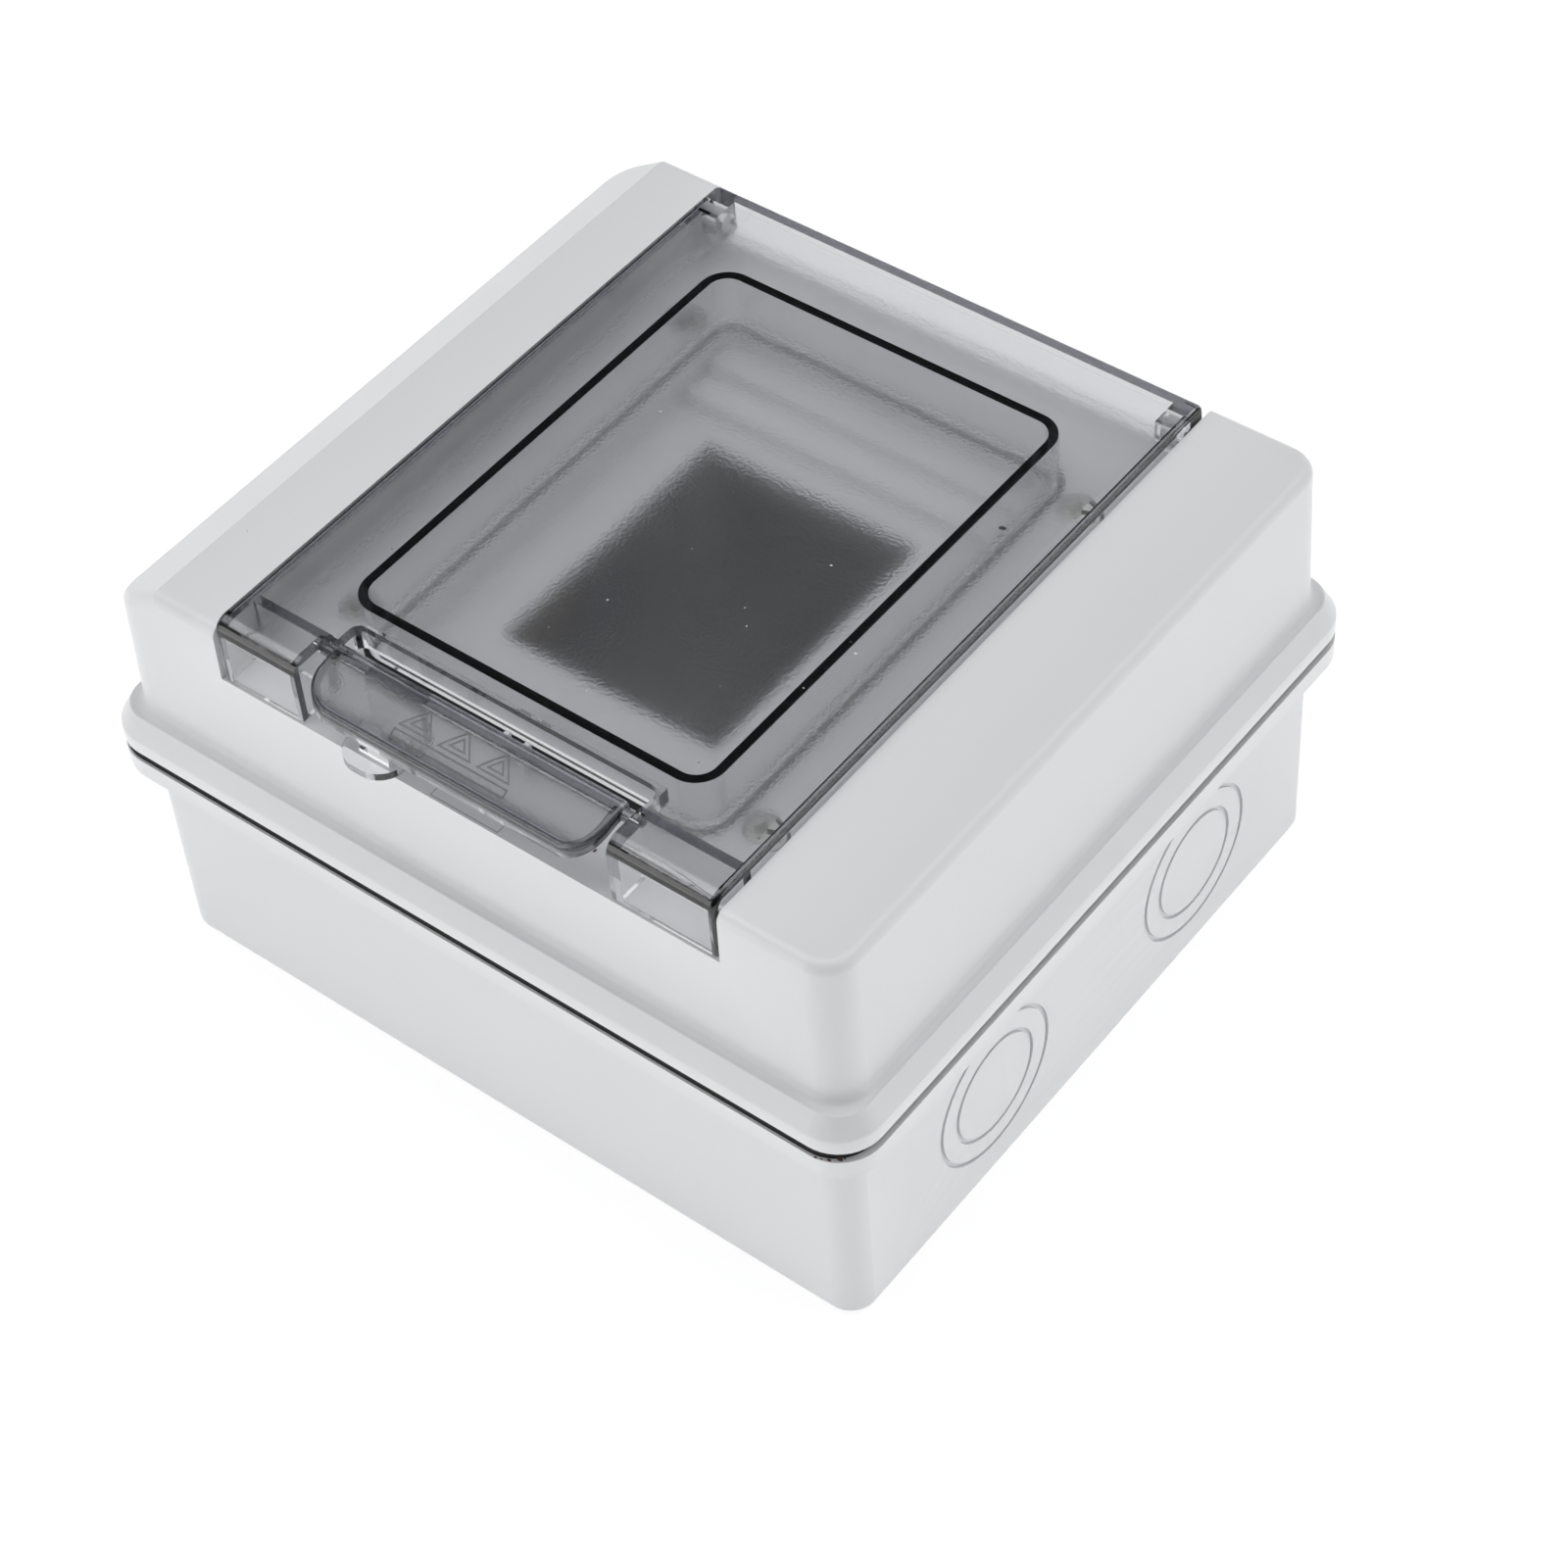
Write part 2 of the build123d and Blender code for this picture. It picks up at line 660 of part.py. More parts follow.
# Smoky door
door_x = span(door_shift_x, door_length)
bay_x = span(latch_bay_shift_x, latch_bay_length)
slot_x = span(slot_shift_x, slot_length)
with BuildPart() as door:
    # Side view: plate with a rounded latch end and a rounded hinge end
    with BuildSketch(Plane.YZ.offset(door_x[0])):
        with Locations((door_middle_y, (box_height + leg_bottom) / 2)):
            Rectangle(door_front + door_back, box_height - leg_bottom)
        fillet(vertices().group_by(Axis.Y)[-1].sort_by(Axis.X)[-1], door_back_round)
        fillet(vertices().group_by(Axis.Y)[-1].sort_by(Axis.X)[0], door_front_round)
    extrude(amount=door_length)
    end_edges = door.faces().filter_by(Axis.X).edges()
    lowest = door.edges().group_by(Axis.Z)[0]
    fillet([e for e in end_edges if not any(e.is_same(low) for low in lowest)], door_side_round)

    # Hollow, then trim the skirts along the sides and the hinge
    pocket(
        span(door_shift_x, door_length - 2 * door_wall),
        (-door_front + door_wall, door_back - door_wall),
        (leg_bottom - cut_past, door_plate_bottom),
    )
    pocket(
        span(door_shift_x, door_length + 2 * cut_past),
        (leg_rear, door_back + cut_past),
        (leg_bottom - cut_past, box_height - door_back_skirt),
    )
    pocket(
        span(door_shift_x, door_length + 2 * cut_past),
        (leg_rear, door_back - 2 * hinge_inset),
        (leg_bottom - cut_past, box_height - door_skirt),
    )

    # Two legs: closed boxes with an inner side wall and a rear wall
    rear_wall = (leg_rear - door_wall, leg_rear)
    slab((door_x[0] + door_wall / 2, bay_x[0]), rear_wall, (leg_bottom, door_plate_bottom))
    slab((bay_x[1], door_x[1] - door_wall / 2), rear_wall, (leg_bottom, door_plate_bottom))
    inner_y = (-door_front + door_wall / 2, leg_rear)
    slab((bay_x[0] - door_wall, bay_x[0]), inner_y, (leg_bottom, door_plate_bottom))
    slab((bay_x[1], bay_x[1] + door_wall), inner_y, (leg_bottom, door_plate_bottom))

    # Rim behind the finger slot, then the bay for the lever with the slot behind it
    slab(
        slot_x,
        (slot_back - slot_rim_wall, slot_back + slot_rim_wall),
        (door_plate_bottom - slot_rim_depth, door_plate_bottom),
    )
    bay_levels = (leg_bottom - cut_past, box_height + cut_past)
    pocket(bay_x, (-door_front - cut_past, lever_rear), bay_levels)
    with BuildSketch(Plane.XY.offset(leg_bottom - cut_past)):
        with Locations((slot_shift_x, (lever_rear + slot_back) / 2)):
            Rectangle(slot_length, slot_width)
        fillet(vertices().group_by(Axis.Y)[-1], slot_corner)
    extrude(amount=box_height, mode=Mode.SUBTRACT)

    # Ring that meets the window seal
    seal_top = pan_z + door_seal_stand
    with BuildSketch(Plane.XY.offset(seal_top + door_seal_clearance)):
        with Locations((window_shift_x, window_shift_y)):
            ring(ring_length, ring_width, ring_corner, ring_wall)
    extrude(until=Until.NEXT)

    # Hinge knuckles with their bores
    for side in (-1, 1):
        knuckle_end = door_shift_x + side * door_length / 2
        knuckle_x = sorted((knuckle_end, knuckle_end - side * knuckle_length))
        slab(knuckle_x, span(hinge_y, 2 * knuckle_radius), (hinge_z, door_plate_bottom))
        with Locations(Plane((knuckle_end, hinge_y, hinge_z), z_dir=(-side, 0, 0))):
            Cylinder(
                knuckle_radius, knuckle_length, align=(Align.CENTER, Align.CENTER, Align.MIN)
            )
            Cylinder(
                pin_radius + pin_fit,
                knuckle_length,
                align=(Align.CENTER, Align.CENTER, Align.MIN),
                mode=Mode.SUBTRACT,
            )

    # Sockets for the torsion bars of the latch lever
    with Locations(Plane((sum(bay_x) / 2, pivot_y, pivot_z), z_dir=(1, 0, 0))):
        Cylinder(
            torsion_bar_radius + torsion_bar_fit,
            latch_bay_length + 2 * (torsion_bar_bite + torsion_bar_fit),
            mode=Mode.SUBTRACT,
        )
finish(door, "door")


def lever_arc(drop):
    """Convex side profile of the lever, lowered by a thickness; returns its three points."""
    back = (lever_rear, box_height - lever_top_drop - drop)
    front = (lever_rear - lever_reach, box_height - lever_top_drop - lever_fall - drop)
    middle = ((back[0] + front[0]) / 2, (back[1] + front[1]) / 2 + lever_bulge)
    return back, middle, front


def lever_band(top_drop, bottom_drop):
    """Side profile between two such arcs, as a face in the current sketch."""
    with BuildLine(mode=Mode.PRIVATE) as outline:
        upper = ThreePointArc(*lever_arc(top_drop))
        lower = ThreePointArc(*lever_arc(bottom_drop))
        Line(upper @ 0, lower @ 0)
        Line(upper @ 1, lower @ 1)
    make_face(outline.line.edges())


def lever_plan(inset):
    """Plan of the lever with rounded front corners, as a face in the current sketch."""
    corner = lever_corner - inset
    depth = lever_reach + lever_corner
    with Locations((sum(bay_x) / 2, lever_rear - lever_reach + inset + depth / 2)):
        RectangleRounded(lever_length - 2 * inset, depth, corner)


# Latch lever: a curved finger plate with a rim, on two torsion bars
with BuildPart() as latch_lever:
    with BuildSketch(Plane.YZ.offset(bay_x[0])):
        lever_band(0, lever_rim)
    extrude(amount=latch_bay_length)
    with BuildSketch(Plane.XY.offset(pan_z)):
        lever_plan(0)
    extrude(amount=2 * pan_depth, mode=Mode.INTERSECT)
    fillet(latch_lever.faces().sort_by(Axis.Z)[-1].edges().sort_by(Axis.Y)[:-1], lever_top_round)

    # Hollow under the plate, leaving the rim
    with BuildPart(mode=Mode.PRIVATE) as under_plate:
        with BuildSketch(Plane.YZ.offset(bay_x[0])):
            lever_band(lever_plate, lever_plate + lever_rim)
        extrude(amount=latch_bay_length)
        with BuildSketch(Plane.XY.offset(pan_z)):
            lever_plan(lever_rim_wall)
        extrude(amount=2 * pan_depth, mode=Mode.INTERSECT)
    add(under_plate.part, mode=Mode.SUBTRACT)

    # Torsion bars out of the rear corners
    with Locations(Plane((sum(bay_x) / 2, pivot_y, pivot_z), z_dir=(1, 0, 0))):
        Cylinder(torsion_bar_radius, latch_bay_length + 2 * torsion_bar_bite)

    # Tongue that drops over the catch post, hung on a web behind the post
    web_y = (pivot_y - lever_rim_wall / 2, pivot_y + lever_rim_wall / 2)
    slab(span(tongue_shift_x, tongue_length), web_y, (tongue_bottom, pivot_z))
    with BuildSketch(Plane.XY.offset(tongue_bottom)):
        with Locations((tongue_shift_x, (tongue_front + web_y[1]) / 2)):
            Rectangle(tongue_length, web_y[1] - tongue_front)
        fillet(vertices().group_by(Axis.Y)[0], tongue_corner)
        hole_front = post_y - post_width / 2 - tongue_hole_clearance
        hole_length = post_length + 2 * tongue_hole_clearance
        with Locations((post_shift_x, (hole_front + web_y[0]) / 2)):
            Rectangle(hole_length, web_y[0] - hole_front, mode=Mode.SUBTRACT)
    extrude(amount=tongue_thickness)
finish(latch_lever, "latch_lever")

# DIN rail: top-hat sheet with slots for its screws
with BuildPart() as din_rail:
    rail_end = Plane(
        origin=(window_shift_x, rail_length / 2, rail_z), x_dir=(1, 0, 0), z_dir=(0, -1, 0)
    )
    with BuildSketch(rail_end):
        crown_in = rail_crown / 2 - rail_sheet
        with BuildLine():
            Polyline(
                (-crown_in, 0),
                (-crown_in, rail_height - rail_sheet),
                (-rail_width / 2, rail_height - rail_sheet),
                (-rail_width / 2, rail_height),
                (-crown_in + rail_sheet, rail_height),
                (-crown_in + rail_sheet, rail_sheet),
                (0, rail_sheet),
                (0, 0),
                close=True,
            )
        make_face()
        mirror(about=Plane.YZ)
    extrude(amount=rail_length)
    with BuildSketch(Plane.XY.offset(rail_z)):
        with Locations((window_shift_x, 0)):
            with GridLocations(1, rail_boss_spacing, 1, 2):
                SlotOverall(
                    rail_slot_length,
                    2 * (rail_screw_radius + screw_hole_clearance),
                    rotation=90,
                )
    extrude(amount=rail_sheet, mode=Mode.SUBTRACT)
finish(din_rail, "din_rail")


def screw_set(name, spots, seat_z, head_radius, head_height, shank_radius, shank_length):
    """Cheese-head screws that sit on one level, as one piece of separate solids."""
    with BuildPart() as screws:
        with BuildSketch(Plane.XY.offset(seat_z)):
            with Locations(*spots):
                Circle(head_radius)
        extrude(amount=head_height)
        with BuildSketch(Plane.XY.offset(seat_z - shank_length)):
            with Locations(*spots):
                Circle(shank_radius)
        extrude(amount=shank_length)
    finish(screws, name)


screw_set(
    "rail_screws",
    [(window_shift_x, side * rail_boss_spacing / 2) for side in (-1, 1)],
    rail_z + rail_sheet,
    rail_screw_head_radius,
    rail_screw_head_height,
    rail_screw_radius,
    rail_sheet + rail_screw_bite,
)

# Neutral bar at the left end wall, earth bar at the right
for bar_name, bar_x in (("neutral", -bar_offset_x), ("earth", bar_offset_x)):
    with BuildPart() as carrier:
        slab(span(bar_x, carrier_width), span(0, carrier_length), (carrier_z, bar_z))
        for end in (-1, 1):
            block_middle = end * (bar_length / 2 + carrier_cheek / 2)
            slab(
                span(bar_x, carrier_width),
                span(block_middle, carrier_cheek),
                (bar_z, carrier_z + carrier_height),
            )
        with Locations((bar_x, 0, bar_z)):
            with GridLocations(1, carrier_screw_spacing, 1, 2):
                Hole(carrier_screw_radius + screw_hole_clearance / 2, depth=carrier_foot)
    finish(carrier, bar_name + "_carrier")

    with BuildPart() as bar:
        slab(span(bar_x, bar_width), span(0, bar_length), (bar_z, bar_z + bar_height))
        for way_y in bar_way_spots:
            with Locations(Plane((bar_x, way_y, bar_z + bar_height / 2), z_dir=(1, 0, 0))):
                Cylinder(wire_hole_radius, 2 * bar_width, mode=Mode.SUBTRACT)
        with Locations((bar_x, 0, bar_z + bar_height)):
            with Locations(*[(0, way_y) for way_y in bar_way_spots]):
                Hole(
                    terminal_screw_radius + screw_bore_clearance,
                    depth=bar_height / 2,
                )
    finish(bar, bar_name + "_bar")

    screw_set(
        bar_name + "_screws",
        [(bar_x, way_y) for way_y in bar_way_spots],
        bar_z + bar_height + terminal_screw_head_height / 2,
        terminal_screw_radius,
        terminal_screw_head_height,
        terminal_screw_radius,
        terminal_screw_length,
    )
    screw_set(
        bar_name + "_fixing_screws",
        [(bar_x, end * carrier_screw_spacing / 2) for end in (-1, 1)],
        bar_z,
        carrier_screw_head_radius,
        carrier_screw_head_height,
        carrier_screw_radius,
        carrier_foot + carrier_screw_bite,
    )
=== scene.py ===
import bmesh
import bpy
import math
from mathutils import Matrix, Vector


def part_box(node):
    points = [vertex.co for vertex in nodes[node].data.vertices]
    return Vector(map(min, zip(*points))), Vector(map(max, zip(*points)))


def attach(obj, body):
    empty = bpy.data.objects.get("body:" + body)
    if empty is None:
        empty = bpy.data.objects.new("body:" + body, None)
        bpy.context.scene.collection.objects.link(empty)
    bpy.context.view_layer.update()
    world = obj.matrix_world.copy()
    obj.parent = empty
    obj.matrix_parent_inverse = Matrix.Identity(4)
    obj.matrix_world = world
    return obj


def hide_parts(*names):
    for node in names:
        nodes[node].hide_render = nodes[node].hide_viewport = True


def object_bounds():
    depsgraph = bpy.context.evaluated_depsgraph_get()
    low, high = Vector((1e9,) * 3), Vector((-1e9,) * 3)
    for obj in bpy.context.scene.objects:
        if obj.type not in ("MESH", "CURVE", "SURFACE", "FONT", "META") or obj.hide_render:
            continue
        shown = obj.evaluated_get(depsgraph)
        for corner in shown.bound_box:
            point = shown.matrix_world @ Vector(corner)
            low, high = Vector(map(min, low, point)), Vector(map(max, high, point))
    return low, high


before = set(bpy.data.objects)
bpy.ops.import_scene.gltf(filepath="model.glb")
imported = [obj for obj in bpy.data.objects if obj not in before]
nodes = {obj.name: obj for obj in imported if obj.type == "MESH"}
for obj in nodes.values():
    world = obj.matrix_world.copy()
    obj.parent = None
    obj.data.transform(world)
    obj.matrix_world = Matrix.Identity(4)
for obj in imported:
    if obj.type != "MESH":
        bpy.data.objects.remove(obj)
cad_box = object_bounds()

# The camera stands above the latch side, to the right of the box, and looks down at its middle.
# Its place and lens are those that put the box's corners where the photograph has them.
camera_place = (0.3039, -0.3350, 0.5256)
camera_right = Vector((0.7907, 0.6096, -0.0564))
camera_down = Vector((0.4257, -0.6137, -0.6649))
camera_forward = camera_right.cross(camera_down)
camera = bpy.data.objects.new("camera", bpy.data.cameras.new("camera"))
bpy.context.collection.objects.link(camera)
camera.data.sensor_width = 36
camera.data.lens = 87.6
camera.data.clip_start = 0.01
axes = Matrix((camera_right, -camera_down, -camera_forward)).transposed()
camera.matrix_world = Matrix.Translation(camera_place) @ axes.to_4x4()
bpy.context.scene.camera = camera
picture_side = 1600
focal_pixels = picture_side * camera.data.lens / camera.data.sensor_width
bpy.context.scene.view_settings.view_transform = "Standard"

# A white light tent. The camera and clear plastic see it white. What it gives to the object is
# lower: strongest at two panels in its ceiling, and lowest at the opening for the camera and at the
# dark cloth behind the box, which keeps the clear door free of glare.
tent_strength = 0.315
panel_strength = 2.35
panel_directions = ((-0.393, -0.105, 0.914), (0.211, 0.366, 0.906))
camera_opening = (0.67, -0.74, 0.05)
dark_cloth = (-0.481, 0.535, 0.695)
world = bpy.data.worlds.new("studio")
bpy.context.scene.world = world
world.use_nodes = True
room = world.node_tree
room.nodes.clear()
room_out = room.nodes.new("ShaderNodeOutputWorld")
room_mix = room.nodes.new("ShaderNodeMixShader")
room_lit = room.nodes.new("ShaderNodeBackground")
room_lit.inputs["Color"].default_value = (1.0, 1.0, 1.0, 1.0)
room_seen = room.nodes.new("ShaderNodeBackground")
room_seen.inputs["Color"].default_value = (1.0, 1.0, 1.0, 1.0)
room_seen.inputs["Strength"].default_value = 1.0
room_place = room.nodes.new("ShaderNodeTexCoord")


def lobe(direction, narrow, wide, at_wide, at_narrow):
    """World value that goes from one strength to another near a direction; narrow and wide are cosines."""
    towards = room.nodes.new("ShaderNodeVectorMath")
    towards.operation = "DOT_PRODUCT"
    towards.inputs[1].default_value = direction
    share = room.nodes.new("ShaderNodeMapRange")
    share.interpolation_type = "SMOOTHSTEP"
    share.inputs["From Min"].default_value = wide
    share.inputs["From Max"].default_value = narrow
    share.inputs["To Min"].default_value = at_wide
    share.inputs["To Max"].default_value = at_narrow
    room.links.new(room_place.outputs["Generated"], towards.inputs[0])
    room.links.new(towards.outputs["Value"], share.inputs["Value"])
    return share.outputs[0]


def combined(operation, first, second):
    """Sum or product of two world values."""
    node = room.nodes.new("ShaderNodeMath")
    node.operation = operation
    room.links.new(first, node.inputs[0])
    room.links.new(second, node.inputs[1])
    return node.outputs[0]


tent = combined(
    "MULTIPLY",
    lobe(camera_opening, narrow=0.95, wide=0.45, at_wide=tent_strength, at_narrow=tent_strength * 0.2),
    lobe(dark_cloth, narrow=0.97, wide=0.88, at_wide=1.0, at_narrow=0.1),
)
first_panel, second_panel = [
    lobe(aim, narrow=0.96, wide=0.89, at_wide=0.0, at_narrow=panel_strength) for aim in panel_directions
]
panels = combined("ADD", first_panel, second_panel)
room.links.new(combined("ADD", tent, panels), room_lit.inputs["Strength"])
room_path = room.nodes.new("ShaderNodeLightPath")
room_direct = room.nodes.new("ShaderNodeMath")
room_direct.operation = "MAXIMUM"
room.links.new(room_path.outputs["Is Camera Ray"], room_direct.inputs[0])
room.links.new(room_path.outputs["Is Transmission Ray"], room_direct.inputs[1])
room.links.new(room_direct.outputs[0], room_mix.inputs["Fac"])
room.links.new(room_lit.outputs[0], room_mix.inputs[1])
room.links.new(room_seen.outputs[0], room_mix.inputs[2])
room.links.new(room_mix.outputs[0], room_out.inputs["Surface"])


box_middle = Vector((0, 0, 0.04))


def softbox(name, place, size, power):
    """A square lamp that faces the middle of the box."""
    lamp = bpy.data.lights.new(name, "AREA")
    lamp.shape = "SQUARE"
    lamp.size = size
    lamp.energy = power
    lamp_object = bpy.data.objects.new(name, lamp)
    bpy.context.collection.objects.link(lamp_object)
    lamp_object.location = place
    aim = box_middle - Vector(place)
    lamp_object.rotation_euler = aim.to_track_quat("-Z", "Y").to_euler()


softbox("front_softbox", place=(-0.46, -0.98, 0.24), size=0.6, power=2.6)
softbox("right_softbox", place=(0.97, 0.43, 0.22), size=0.6, power=1.8)

# Table: a matt white sheet that takes a faint shadow. It is lit from below too, so that the walls of
# the box get light from underneath, as they do on a studio's light table.
table_half = 3.0
table_gap = 0.0004
table_corners = [(table_half * x, table_half * y, 0) for x, y in ((-1, -1), (1, -1), (1, 1), (-1, 1))]
table_mesh = bpy.data.meshes.new("table")
table_mesh.from_pydata(table_corners, [], [(0, 1, 2, 3)])
table = bpy.data.objects.new("table", table_mesh)
bpy.context.collection.objects.link(table)
table.location.z = cad_box[0][2] - table_gap
table_paint = bpy.data.materials.new("table_paint")
table_paint.use_nodes = True
paint = table_paint.node_tree
paint.nodes.clear()
paint_out = paint.nodes.new("ShaderNodeOutputMaterial")
paint_mix = paint.nodes.new("ShaderNodeMixShader")
paint_seen = paint.nodes.new("ShaderNodeAddShader")
paint_glow = paint.nodes.new("ShaderNodeEmission")
paint_glow.inputs["Color"].default_value = (1.0, 1.0, 1.0, 1.0)
paint_glow.inputs["Strength"].default_value = 0.80
paint_shade = paint.nodes.new("ShaderNodeBsdfDiffuse")
paint_shade.inputs["Color"].default_value = (0.28, 0.28, 0.28, 1.0)
paint_lit = paint.nodes.new("ShaderNodeBsdfDiffuse")
paint_lit.inputs["Color"].default_value = (0.86, 0.86, 0.86, 1.0)
paint_path = paint.nodes.new("ShaderNodeLightPath")
paint_direct = paint.nodes.new("ShaderNodeMath")
paint_direct.operation = "MAXIMUM"
paint.links.new(paint_path.outputs["Is Camera Ray"], paint_direct.inputs[0])
paint.links.new(paint_path.outputs["Is Transmission Ray"], paint_direct.inputs[1])
paint.links.new(paint_glow.outputs[0], paint_seen.inputs[0])
paint.links.new(paint_shade.outputs[0], paint_seen.inputs[1])
paint.links.new(paint_direct.outputs[0], paint_mix.inputs["Fac"])
paint_bounce = paint.nodes.new("ShaderNodeEmission")
paint_bounce.inputs["Strength"].default_value = 0.50
paint_below = paint.nodes.new("ShaderNodeAddShader")
paint.links.new(paint_lit.outputs[0], paint_below.inputs[0])
paint.links.new(paint_bounce.outputs[0], paint_below.inputs[1])
paint.links.new(paint_below.outputs[0], paint_mix.inputs[1])
paint.links.new(paint_seen.outputs[0], paint_mix.inputs[2])
paint.links.new(paint_mix.outputs[0], paint_out.inputs["Surface"])
table_mesh.materials.append(table_paint)

# Base: the wall box, injection moulded in light grey ABS with a fine spark-eroded skin.
# It is screwed to the wall through four holes in its floor.
abs_grey = (0.665, 0.675, 0.690, 1.0)


def moulded_skin():
    """Node group: a mould's fine texture, flow marks, dust specks and a painted highlight on sharp edges, on
    plain plastic.
    """
    skin = bpy.data.node_groups.new("moulded_skin", "ShaderNodeTree")
    for name, value in (("Tone", 0.02), ("Specks", 0.5), ("Painted_highlight", 0.3), ("Grain", 9000.0), ("Gloss", 0.38)):
        socket = skin.interface.new_socket(name, in_out="INPUT", socket_type="NodeSocketFloat")
        socket.default_value = value
    colour = skin.interface.new_socket("Plastic", in_out="INPUT", socket_type="NodeSocketColor")
    colour.default_value = abs_grey
    skin.interface.new_socket("Color", in_out="OUTPUT", socket_type="NodeSocketColor")
    skin.interface.new_socket("Roughness", in_out="OUTPUT", socket_type="NodeSocketFloat")
    skin.interface.new_socket("Height", in_out="OUTPUT", socket_type="NodeSocketFloat")
    given = skin.nodes.new("NodeGroupInput")
    result = skin.nodes.new("NodeGroupOutput")
    place = skin.nodes.new("ShaderNodeTexCoord")

    # Slow change of tone from the flow of the plastic, stretched along the height
    flow_map = skin.nodes.new("ShaderNodeMapping")
    flow_map.inputs["Scale"].default_value = (1.0, 1.0, 0.4)
    flow = skin.nodes.new("ShaderNodeTexNoise")
    flow.inputs["Scale"].default_value = 22.0
    flow.inputs["Detail"].default_value = 3.0
    skin.links.new(place.outputs["Object"], flow_map.inputs["Vector"])
    skin.links.new(flow_map.outputs[0], flow.inputs["Vector"])
    flow_centred = skin.nodes.new("ShaderNodeMath")
    flow_centred.operation = "MULTIPLY_ADD"
    flow_centred.inputs[1].default_value = 2.0
    flow_centred.inputs[2].default_value = -1.0
    skin.links.new(flow.outputs["Fac"], flow_centred.inputs[0])
    tone = skin.nodes.new("ShaderNodeMath")
    tone.operation = "MULTIPLY_ADD"
    tone.inputs[2].default_value = 1.0
    skin.links.new(flow_centred.outputs[0], tone.inputs[0])
    skin.links.new(given.outputs["Tone"], tone.inputs[1])

    # Painted highlight: a little paler where the surface turns sharply, on its convex edges
    rounded = skin.nodes.new("ShaderNodeNewGeometry")
    edge = skin.nodes.new("ShaderNodeMapRange")
    edge.inputs["From Min"].default_value = 0.52
    edge.inputs["From Max"].default_value = 0.60
    skin.links.new(rounded.outputs["Pointiness"], edge.inputs["Value"])
    edge_share = skin.nodes.new("ShaderNodeMath")
    edge_share.operation = "MULTIPLY"
    skin.links.new(edge.outputs[0], edge_share.inputs[0])
    skin.links.new(given.outputs["Painted_highlight"], edge_share.inputs[1])

    # Dust and pigment specks, few and a fraction of a millimetre across
    cells = skin.nodes.new("ShaderNodeTexVoronoi")
    cells.inputs["Scale"].default_value = 260.0
    skin.links.new(place.outputs["Object"], cells.inputs["Vector"])
    dot = skin.nodes.new("ShaderNodeMath")
    dot.operation = "LESS_THAN"
    dot.inputs[1].default_value = 0.035
    skin.links.new(cells.outputs["Distance"], dot.inputs[0])
    chance = skin.nodes.new("ShaderNodeSeparateColor")
    skin.links.new(cells.outputs["Color"], chance.inputs[0])
    rare = skin.nodes.new("ShaderNodeMath")
    rare.operation = "GREATER_THAN"
    rare.inputs[1].default_value = 0.985
    skin.links.new(chance.outputs[0], rare.inputs[0])
    speck = skin.nodes.new("ShaderNodeMath")
    speck.operation = "MULTIPLY"
    skin.links.new(dot.outputs[0], speck.inputs[0])
    skin.links.new(rare.outputs[0], speck.inputs[1])
    speck_share = skin.nodes.new("ShaderNodeMath")
    speck_share.operation = "MULTIPLY"
    skin.links.new(speck.outputs[0], speck_share.inputs[0])
    skin.links.new(given.outputs["Specks"], speck_share.inputs[1])

    # Colour: tone on the plastic, then the painted edge highlight, then the specks
    toned = skin.nodes.new("ShaderNodeVectorMath")
    toned.operation = "SCALE"
    skin.links.new(given.outputs["Plastic"], toned.inputs[0])
    skin.links.new(tone.outputs[0], toned.inputs["Scale"])
    edged = skin.nodes.new("ShaderNodeMix")
    edged.data_type = "RGBA"
    edged.inputs["B"].default_value = (0.86, 0.86, 0.86, 1.0)
    skin.links.new(edge_share.outputs[0], edged.inputs["Factor"])
    skin.links.new(toned.outputs[0], edged.inputs["A"])
    specked = skin.nodes.new("ShaderNodeMix")
    specked.data_type = "RGBA"
    specked.inputs["B"].default_value = (0.22, 0.21, 0.19, 1.0)
    skin.links.new(speck_share.outputs[0], specked.inputs["Factor"])
    skin.links.new(edged.outputs["Result"], specked.inputs["A"])
    skin.links.new(specked.outputs["Result"], result.inputs["Color"])

    # Grain of the spark-eroded mould
    grain = skin.nodes.new("ShaderNodeTexNoise")
    grain.inputs["Detail"].default_value = 2.0
    skin.links.new(place.outputs["Object"], grain.inputs["Vector"])
    skin.links.new(given.outputs["Grain"], grain.inputs["Scale"])
    skin.links.new(grain.outputs["Fac"], result.inputs["Height"])
    smear = skin.nodes.new("ShaderNodeTexNoise")
    smear.inputs["Scale"].default_value = 60.0
    smear.inputs["Detail"].default_value = 4.0
    skin.links.new(place.outputs["Object"], smear.inputs["Vector"])
    rough = skin.nodes.new("ShaderNodeMath")
    rough.operation = "MULTIPLY_ADD"
    rough.inputs[1].default_value = 0.10
    skin.links.new(smear.outputs["Fac"], rough.inputs[0])
    skin.links.new(given.outputs["Gloss"], rough.inputs[2])
    skin.links.new(rough.outputs[0], result.inputs["Roughness"])
    return skin


skin_group = moulded_skin()


